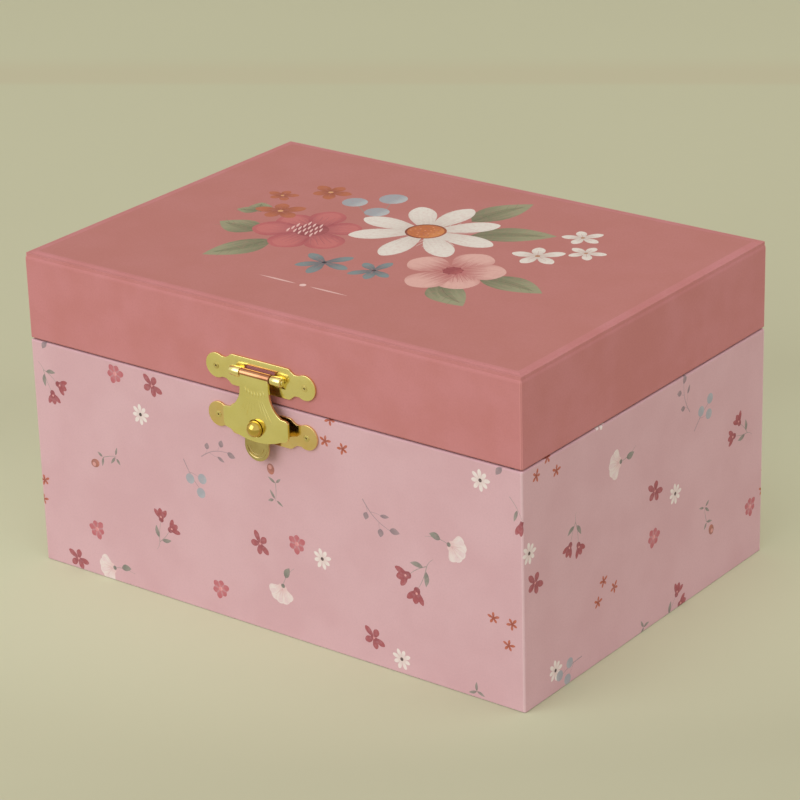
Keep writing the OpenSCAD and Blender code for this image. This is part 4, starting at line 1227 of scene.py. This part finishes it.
def ring_cushion():
    """Four stuffed rolls side by side, blown up a little by a cloth simulation."""
    low, high = box_mm("ring_cushion")
    rolls, steps, sides = 4, 36, 22
    pitch = (high.y - low.y) / rolls
    solid = Solid()
    for k in range(rolls):
        middle = low.y + (k + 0.5) * pitch
        half, tall = pitch / 2 - 0.35, high.z - low.z - 0.35
        rings = []
        for i in range(steps + 1):
            u = 2 * i / steps - 1
            end = (1 - abs(u) ** 14) ** 0.5 if abs(u) < 1 else 0.0
            shrink = 0.55 + 0.45 * end
            x = (low.x + high.x) / 2 + ((high.x - low.x) / 2 - 0.4) * u
            ring = []
            for j in range(sides):
                a = 2 * math.pi * j / sides
                c, t = math.cos(a), math.sin(a)
                y = half * math.copysign(abs(c) ** 0.75, c) * shrink
                swell = math.copysign(abs(t) ** 0.62, t) * (shrink if t > 0 else 1)
                z = low.z + 0.1 + tall * (0.5 + 0.5 * swell)
                ring.append((x, middle + y, z))
            rings.append(ring)
        solid.rings(rings)
    piece = solid.piece("ring_cushion_rolls", "case", "velvet", "velvet", 75)
    inflate(piece, low, high)
    soften = piece.modifiers.new("soften", "SUBSURF")
    soften.levels = soften.render_levels = 1
    applied(piece)
    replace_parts(piece, "ring_cushion")


def inflate(piece, low, high):
    """Lets the cover swell under pressure, with its foot held, and keeps it inside its CAD block."""
    held = piece.vertex_groups.new(name="foot")
    for vert in piece.data.vertices:
        held.add([vert.index], 1.0 if vert.co.z < (low.z + 1.5) * MM else 0.0, "REPLACE")
    before = [v.co.copy() for v in piece.data.vertices]
    cloth = piece.modifiers.new("cloth", "CLOTH")
    cloth.settings.quality = 6
    cloth.settings.mass = 0.2
    cloth.settings.tension_stiffness = cloth.settings.compression_stiffness = 12
    cloth.settings.bending_stiffness = 0.4
    cloth.settings.vertex_group_mass = "foot"
    cloth.settings.use_pressure = True
    cloth.settings.uniform_pressure_force = 4
    cloth.settings.effector_weights.gravity = 0
    cloth.point_cache.frame_start, cloth.point_cache.frame_end = 1, 14
    for step in range(1, 15):
        bpy.context.scene.frame_set(step)
    applied(piece)
    bpy.context.scene.frame_set(1)
    cap = 0.3 * MM
    inner, outer = Vector(low) * MM, Vector(high) * MM
    for vert, start in zip(piece.data.vertices, before):
        move = vert.co - start
        if move.length > cap:
            move *= cap / move.length
        vert.co = Vector(min(max(c, a), b) for c, a, b in zip(start + move, inner, outer))


# ---- boards and mirror ----


def finish_boards():
    """Takes the hard edge off the CAD's lined boards and mirror, as their paper does."""
    lined = ("cross_divider", "side_divider", "front_divider", "tray_floor", "mirror_surround")
    for node in lined + ("mirror",):
        piece = NODES[node]
        weld = piece.modifiers.new("weld", "WELD")
        weld.merge_threshold = 1e-6
        edge = piece.modifiers.new("edge", "BEVEL")
        edge.width, edge.segments = 0.3 * MM, 3
        edge.limit_method, edge.angle_limit = "ANGLE", math.radians(40)
        edge.harden_normals = True


def deck():
    """The lined board over the movement, with a hole for the spindle and one for the stop wire."""
    low, high = box_mm("deck")
    holes = []
    for node, radius in (("spindle", 2.6), ("stop_wire", 1.8)):
        middle = middle_of(node)
        holes.append(circle(radius, (middle.x, middle.y), 32))
    outline = [(low.x, low.y), (high.x, low.y), (high.x, high.y), (low.x, high.y)]
    solid = Solid(LYING).plate(outline, -low.z, high.z - low.z, 0.3, holes)
    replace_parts(solid.piece("deck_board", "case", "lining_paper", "lining_paper"), "deck")


def winding_key():
    """A cast butterfly key: a turned hub, and two pierced wings."""
    low, high = box_mm("winding_key")
    x, z = (low.x + high.x) / 2, (low.z + high.z) / 2
    wing_x, wing_y = 6.3, high.y - 4.6
    half = [(0, high.y - 2.3), (1.8, high.y - 2.2)] + arc((wing_x, wing_y), 4.6, 148, -160, 30)
    half += [(2.3, high.y - 8.2), (2.1, high.y - 9.6), (0, high.y - 9.8)]
    outline = [(x + a, b) for a, b in mirrored(half)]
    wings = [x - wing_x, x + wing_x]
    holes = [circle(2.1, (wing, wing_y), 28) for wing in wings]
    solid = Solid(LYING).plate(outline, -(z - 0.9), 1.8, 0.35, holes)
    solid.matrix = Matrix.Identity(4)
    reach = high.y - 8 - low.y
    hub = [(1.15, 0), (2.2, 0), (2.4, 0.2), (2.4, 1.2), (2.15, 1.45), (2.15, 2.2), (2.4, 2.45)]
    hub += [(2.4, reach - 1.6), (2.1, reach - 0.7), (1.4, reach - 0.1), (0.1, reach)]
    solid.revolve(hub, (x, low.y, z), TO_BACK, 40)
    for wing in wings:
        ring = [(wing + 3.3 * c, wing_y + 3.3 * t, z + 0.9) for c, t in circle(1, steps=32)]
        solid.tube(ring, 0.22, 8, closed=True)
    slot = SLOTS["winding_key"]
    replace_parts(solid.piece("winding_key_cast", "key", slot, slot), "winding_key")


# ---- the figure ----

LEAN = math.radians(50)
FIGURE_TALL = 38.0
HIP, NECK, SHOULDER = 0.57 * FIGURE_TALL, 0.84 * FIGURE_TALL, 0.77 * FIGURE_TALL
TOE = 6.8


def lean_frame():
    """Where the figure stands: z runs up through it, from the point that the spring bends about."""
    joint = next(j for j in frame["joints"] if j["name"] == "figure_lean")
    at = Vector(joint["pos_m"]) / MM
    return Matrix.Translation(at) @ Matrix.Rotation(LEAN, 4, "X")


def smooth_body(solid, name, voxel):
    """Joins overlapping limbs into one smooth skin."""
    piece = solid.piece(name, None, "figure_plastic", ["figure_plastic", "bodice", "shoe_satin"])
    remesh = piece.modifiers.new("skin", "REMESH")
    remesh.mode, remesh.voxel_size, remesh.use_smooth_shade = "VOXEL", voxel * MM, True
    smooth = piece.modifiers.new("smooth", "SMOOTH")
    smooth.factor, smooth.iterations = 0.5, 4
    return applied(piece)


def ballerina():
    lean = lean_frame()
    back = lean.inverted()
    body = Solid(lean)
    body.revolve([(0.8, 3.9), (0.8, TOE + 0.6)], steps=16)  # the peg in the ferrule
    leg = [(0, 0, TOE + 0.1), (0, 0, TOE + 1.2), (0.05, 0.1, TOE + 3.4), (0.1, 0.3, HIP - 8.8)]
    leg += [(0.2, -0.1, HIP - 6.6), (0.45, 0, HIP - 3), (0.75, 0, HIP)]
    body.tube(leg, [0.55, 0.72, 0.72, 1.15, 1.0, 1.45, 1.75], 14)
    body.ball((0, 0, TOE + 0.3), (0.62, 0.75, 0.7), 12)
    knee = Vector((5.6, 0, HIP - 3.2))
    thigh = [(0.9, 0, HIP - 0.6), (2.6, -0.1, HIP - 1.2), (4.4, -0.1, HIP - 2.5), knee]
    body.tube(thigh, [1.7, 1.45, 1.15, 0.98], 14)
    body.ball(knee, 1.0, 12)
    shin = [knee, (4.2, 0, HIP - 5.2), (2.6, 0, HIP - 7.1), (1.2, 0, HIP - 8.6), (0.6, 0, HIP - 9.5)]
    body.tube(shin, [0.92, 0.98, 0.72, 0.6, 0.42], 12)
    body.ball((0, 0, HIP + 0.3), (2.3, 1.75, 1.8), 18)
    waist = (
        (0, HIP, 2.25, 1.7), (-0.05, HIP + 1.8, 1.85, 1.45), (-0.1, HIP + 3.6, 1.6, 1.25),
        (0, HIP + 5.4, 2.0, 1.5), (0.1, SHOULDER - 1, 2.25, 1.35), (0.1, SHOULDER, 1.9, 1.0),
    )
    rings = []
    for y, z, wide, deep in waist:
        rings.append([(wide * c, y + deep * s, z) for c, s in circle(1, steps=20)])
    body.rings(rings)
    for side in (-1, 1):
        body.ball((side * 0.9, -1.0, HIP + 5.6), (0.95, 0.75, 0.95), 12)
        body.ball((side * 1.75, 0.05, SHOULDER - 0.3), (0.8, 0.75, 0.75), 12)
        elbow = Vector((side * 4.7, -0.3, NECK + 0.2))
        arm = [(side * 1.7, 0, SHOULDER - 0.3), (side * 3.0, -0.1, SHOULDER + 0.6)]
        arm += [(side * 4.1, -0.2, NECK - 1.1), elbow, (side * 4.7, -0.4, NECK + 2.0)]
        arm += [(side * 3.8, -0.5, NECK + 3.9), (side * 2.4, -0.5, FIGURE_TALL - 0.9)]
        arm += [(side * 1.0, -0.4, FIGURE_TALL - 0.35)]
        body.tube(arm, [0.72, 0.68, 0.62, 0.6, 0.55, 0.48, 0.42, 0.3], 12)
        body.ball((side * 0.85, -0.4, FIGURE_TALL - 0.3), (0.55, 0.3, 0.3), 10)
    body.tube([(0, 0.1, SHOULDER - 0.4), (0, 0.05, SHOULDER + 1), (0, 0, NECK)], [1.1, 0.78, 0.74], 14)
    body.ball((0, 0, NECK + 1.6), (1.72, 1.85, 2.15), 22)
    body.ball((0, -0.35, NECK + 0.7), (1.2, 1.25, 1.1), 16)
    body.ball((0, -1.85, NECK + 1.35), (0.2, 0.26, 0.32), 8)
    piece = smooth_body(body, "ballerina_body", 0.16)
    for face in piece.data.polygons:
        p = back @ (face.center / MM)
        bust = HIP + 6.6 - 0.5 * abs(p.x)
        if p.z < TOE + 2.6 or (p - Vector((0.9, 0, HIP - 9.2))).length < 1.3 and p.x > 0.55:
            face.material_index = 2
        elif HIP - 2.1 + 0.35 * abs(p.x) < p.z < bust and abs(p.x) < 2.75 and abs(p.y) < 2.4:
            face.material_index = 1
    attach(piece, "figure")
    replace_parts(piece, "ballerina")

    hair = Solid(lean)
    cap = []
    for a in [math.radians(-22 + 112 * k / 8) for k in range(9)]:
        wide, deep, z = 1.88 * math.cos(a), 1.98 * math.cos(a), NECK + 1.95 + 2.02 * math.sin(a)
        cap.append([(wide * c, 0.42 + deep * s, z) for c, s in circle(1, steps=24)])
    hair.rings(cap)
    hair.ball((0, 1.0, NECK + 4.0), (1.1, 1.1, 0.85), 18)
    band = [(1.05 * c, 1.0 + 1.05 * s, NECK + 3.55) for c, s in circle(1, steps=20)]
    hair.tube(band, 0.2, 8, closed=True, mark=1)
    hair.piece("ballerina_hair", "figure", "figure_plastic", ["hair", "bodice"], 60)

    face = Solid(lean)
    for side in (-1, 1):
        lid, brow = [], []
        for c in (-1, -0.5, 0, 0.5, 1):
            lid.append((side * (0.62 + 0.34 * c), -1.62 + 0.1 * c * c, NECK + 1.6 - 0.1 * (1 - c * c)))
        for c in (-1, 0, 1):
            brow.append((side * (0.62 + 0.4 * c), -1.5 + 0.12 * c * c, NECK + 2.25 + 0.1 * (1 - c * c)))
        face.tube(lid, [0.03, 0.06, 0.07, 0.06, 0.03], 6)
        face.tube(brow, [0.02, 0.04, 0.02], 6)
    mouth = [(0.32 * c, -1.6, NECK + 0.62 - 0.06 * (1 - c * c)) for c in (-1, -0.4, 0.4, 1)]
    face.tube(mouth, [0.04, 0.09, 0.09, 0.04], 6, mark=1)
    face.piece("ballerina_face", "figure", "figure_plastic", ["hair", "lips"], 60)


def tutu():
    """Three gathered rounds of stiff tulle, one above another."""
    lean = lean_frame()
    inner, around, out = 2.3, 190, 12
    layers = (
        (HIP + 1.05, 0.2, 10.9, 17, 0.0), (HIP + 0.4, -0.02, 10.6, 19, 1.1),
        (HIP - 0.1, -0.06, 10.0, 15, 2.3),
    )
    for k, (height, slope, reach, folds, turn) in enumerate(layers):
        verts = []
        for i in range(out + 1):
            t = i / out
            r = inner + (reach - inner) * t
            for j in range(around):
                a = 2 * math.pi * j / around
                wave = math.sin(folds * a + turn) + 0.35 * math.sin((2 * folds + 1) * a + turn)
                z = height + slope * (1 - t) - 0.35 * t * t + 0.36 * t**0.8 * wave
                verts.append((r * math.cos(a), r * math.sin(a), min(max(z, HIP - 1.15), HIP + 2.15)))
        faces = []
        for i in range(out):
            near, far = i * around, (i + 1) * around
            for j in range(around):
                n = (j + 1) % around
                faces.append([near + j, near + n, far + n, far + j])
        solid = Solid(lean).add(verts, faces)
        piece = solid.piece(f"tutu_layer_{k + 1}", "figure", "tulle", "tulle", 80)
        thick = piece.modifiers.new("thick", "SOLIDIFY")
        thick.thickness, thick.offset = 0.06 * MM, 0
        if k == 0:
            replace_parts(piece, "tutu")
    loop = [(2.15 * c, 1.7 * s, HIP + 1.35) for c, s in circle(1, steps=28)]
    sash = Solid(lean).tube(loop, 0.28, 10, closed=True)
    sash.piece("tutu_sash", "figure", "tulle", "shoe_satin", 60)


def coil(path, radius, wire, turns, per_turn=16):
    """A coil spring wound round a path given as a function from 0..1 to (point, side, other)."""
    points = []
    for i in range(int(turns * per_turn) + 1):
        t = i / (turns * per_turn)
        centre, side, other = path(t)
        a = 2 * math.pi * turns * t
        points.append(centre + (side * math.cos(a) + other * math.sin(a)) * radius)
    return Solid().tube(points, wire, 8)


def figure_spring():
    """The flexible coil that the figure stands on, made bent to the figure's lean; on the real box it straightens
    as the lid opens.
    """
    ferrule = lean_frame()
    at = ferrule.translation
    reach = 3.6
    radius = reach / math.tan(LEAN / 2)
    centre = Vector((at.x, at.y - radius, at.z - reach))

    def path(t):
        a = LEAN * t
        out = Vector((0, math.cos(a), math.sin(a)))
        return centre + out * radius, out, Vector((1, 0, 0))

    solid = coil(path, 1.28, 0.22, 9)
    piece = solid.piece("figure_coil_spring", None, "spring_steel", "spring_steel", 60)
    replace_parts(piece, "figure_spring")
    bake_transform(piece)


def stop_spring():
    low, high = box_mm("stop_spring")
    middle = (low + high) / 2

    def path(t):
        z = low.z + 0.2 + (high.z - low.z - 0.4) * t
        return Vector((middle.x, middle.y, z)), Vector((1, 0, 0)), Vector((0, 1, 0))

    solid = coil(path, 1.2, 0.18, 5)
    piece = solid.piece("stop_coil_spring", None, "spring_steel", "spring_steel", 60)
    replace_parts(piece, "stop_spring")
    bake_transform(piece)


def ferrule():
    profile = [(0.85, 3.6), (1.55, 3.6), (1.7, 3.75), (1.7, 4.3), (1.55, 4.45), (1.55, 5.8)]
    profile += [(1.7, 5.95), (1.7, 6.4), (1.5, 6.6), (0.85, 6.6)]
    solid = Solid(lean_frame()).revolve(profile, steps=36, closed=True)
    slot = SLOTS["figure_ferrule"]
    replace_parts(solid.piece("figure_ferrule_turned", "spring_lean", slot, slot), "figure_ferrule")


def turntable():
    low, high = box_mm("turntable")
    middle = (low + high) / 2
    tall = high.z - low.z
    profile = [(1.0, 0), (6.6, 0), (6.85, 0.1), (7, 0.35), (7, tall - 0.5), (6.85, tall - 0.2)]
    profile += [(6.4, tall), (5.9, tall), (5.75, tall - 0.15), (5.6, tall), (1.0, tall)]
    solid = Solid().revolve(profile, (middle.x, middle.y, low.z), steps=72, closed=True)
    slot = SLOTS["turntable"]
    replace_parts(solid.piece("turntable_turned", "cylinder", slot, slot), "turntable")


# ---- stage ----


AZIMUTH, ELEVATION, ROLL = 37.46, 22.67, -1.65
DISTANCE = 814.6
TARGET = Vector((0.6, 0.0, 44.8))


def stage():
    """A pale sweep with light painted into it: painted shade towards the near right, a painted pool of light round
    the box, and one faint darker band.
    """
    floor = Recipe("floor", Roughness=0.85, Specular_IOR_Level=0.2)
    ground = floor.mix(floor.noise(240, 2), tint(196, 193, 162), tint(191, 188, 157))
    split = floor.add("SeparateXYZ", [(0, floor.place())])
    along, depth = split.outputs[0], split.outputs[1]
    # painted shade: the floor darkens towards the near right, where the light falls off
    painted_shade_reach = floor.sums("SUBTRACT", floor.sums("MULTIPLY", along, 0.35), depth)
    ground = floor.mix(floor.spread(painted_shade_reach, 60, 125), ground, tint(187, 184, 154))
    # painted light: a lighter pool on the floor round the box
    inputs = [("Vector", floor.place()), ("Location", (-0.06, -0.09, 0))]
    vector = floor.add("Mapping", inputs + [("Scale", (0.004, 0.0075, 0.004))]).outputs[0]
    painted_light_pool = floor.add("TexGradient", [("Vector", vector)], gradient_type="SPHERICAL")
    ground = floor.mix(floor.spread(painted_light_pool.outputs["Fac"], 0.0, 0.6), ground, tint(213, 213, 180))
    # a faint darker band across the floor at one distance
    seam = floor.sums("ADD", depth, floor.sums("MULTIPLY", along, 0.1))
    band = floor.sums("MULTIPLY", floor.spread(seam, 428, 435), floor.spread(seam, 445, 474, 1.0, 0.0))
    floor.colour(floor.mix(band, ground, tint(193, 186, 155)))
    reach, drop, bend = 6000.0, 2500.0, 900.0
    rows = [(-reach, 0), (drop, 0)]
    for a in (0.26, 0.52, 0.78, 1.05, 1.31, 1.57):
        rows.append((drop + bend * math.sin(a), bend * (1 - math.cos(a))))
    rows += [(drop + bend, reach)]
    verts = [(x, y, z) for y, z in rows for x in (-reach, reach)]
    faces = [[2 * k, 2 * k + 1, 2 * k + 3, 2 * k + 2] for k in range(len(rows) - 1)]
    mesh = bpy.data.meshes.new("floor")
    mesh.from_pydata([Vector(v) * MM for v in verts], [], faces)
    mesh.polygons.foreach_set("use_smooth", [True] * len(faces))
    mesh.materials.append(floor.material)
    piece = bpy.data.objects.new("floor", mesh)
    piece.rotation_euler.z = math.radians(AZIMUTH)
    bpy.context.collection.objects.link(piece)


def aimed(obj, place_mm):
    """Puts an object somewhere and turns its back axis away from the target."""
    turn = (Vector(place_mm) - TARGET).to_track_quat("Z", "Y").to_matrix().to_4x4()
    obj.matrix_world = Matrix.Translation(Vector(place_mm) * MM) @ turn
    bpy.context.collection.objects.link(obj)


def direction(azimuth, elevation):
    """From the box towards a viewer; azimuth 0 is the front and 90 the right side."""
    az, el = math.radians(azimuth), math.radians(elevation)
    return Vector((math.sin(az) * math.cos(el), -math.cos(az) * math.cos(el), math.sin(el)))


def camera():
    az, roll = math.radians(AZIMUTH), math.radians(ROLL)
    back = direction(AZIMUTH, ELEVATION)
    right = Vector((math.cos(az), math.sin(az), 0))
    up = back.cross(right)
    across, upward = math.cos(roll), math.sin(roll)
    turned = (right * across + up * upward, up * across - right * upward, back)
    data = bpy.data.cameras.new("camera")
    data.sensor_width, data.lens = 36.0, 139.93
    data.clip_start, data.clip_end = 0.01, 50.0
    eye = bpy.data.objects.new("camera", data)
    rotation = Matrix([v[:] for v in turned]).transposed().to_4x4()
    eye.matrix_world = Matrix.Translation((TARGET + back * DISTANCE) * MM) @ rotation
    bpy.context.collection.objects.link(eye)
    bpy.context.scene.camera = eye


def soft_box(name, azimuth, elevation, distance, size, power, colour=(1, 1, 1)):
    """A square studio light that looks at the box, placed by azimuth as the camera is."""
    light = bpy.data.lights.new(name, "AREA")
    light.size, light.energy, light.color = size * MM, power, colour
    aimed(bpy.data.objects.new(name, light), TARGET + direction(azimuth, elevation) * distance)


def lights():
    soft_box("key_light", -22, 29.5, 1900, 1600, 15.9, (0.97, 1.0, 1.04))
    soft_box("back_light", 122, 34, 1700, 900, 2.8, (1.06, 0.97, 0.95))
    world = bpy.data.worlds.new("studio")
    world.use_nodes = True
    background = world.node_tree.nodes["Background"]
    background.inputs["Color"].default_value = (0.95, 0.95, 0.97, 1)
    background.inputs["Strength"].default_value = 0.88
    bpy.context.scene.world = world
    bpy.context.scene.view_settings.view_transform = "Standard"


def finish_nodes():
    """Gives each CAD node the material of its slot in the record."""
    for name, node in NODES.items():
        node.data.materials.clear()
        node.data.materials.append(MATERIALS[SLOTS[name]])


finish_nodes()
finish_boards()
case_paper()
lid_paper()
catch_plate()
catch_knob()
hasp_plate()
hasp_flap()
nails()
hinges()
tray_pads()
ring_cushion()
ballerina()
tutu()
figure_spring()
stop_spring()
ferrule()
deck()
winding_key()
turntable()
stage()
camera()
lights()
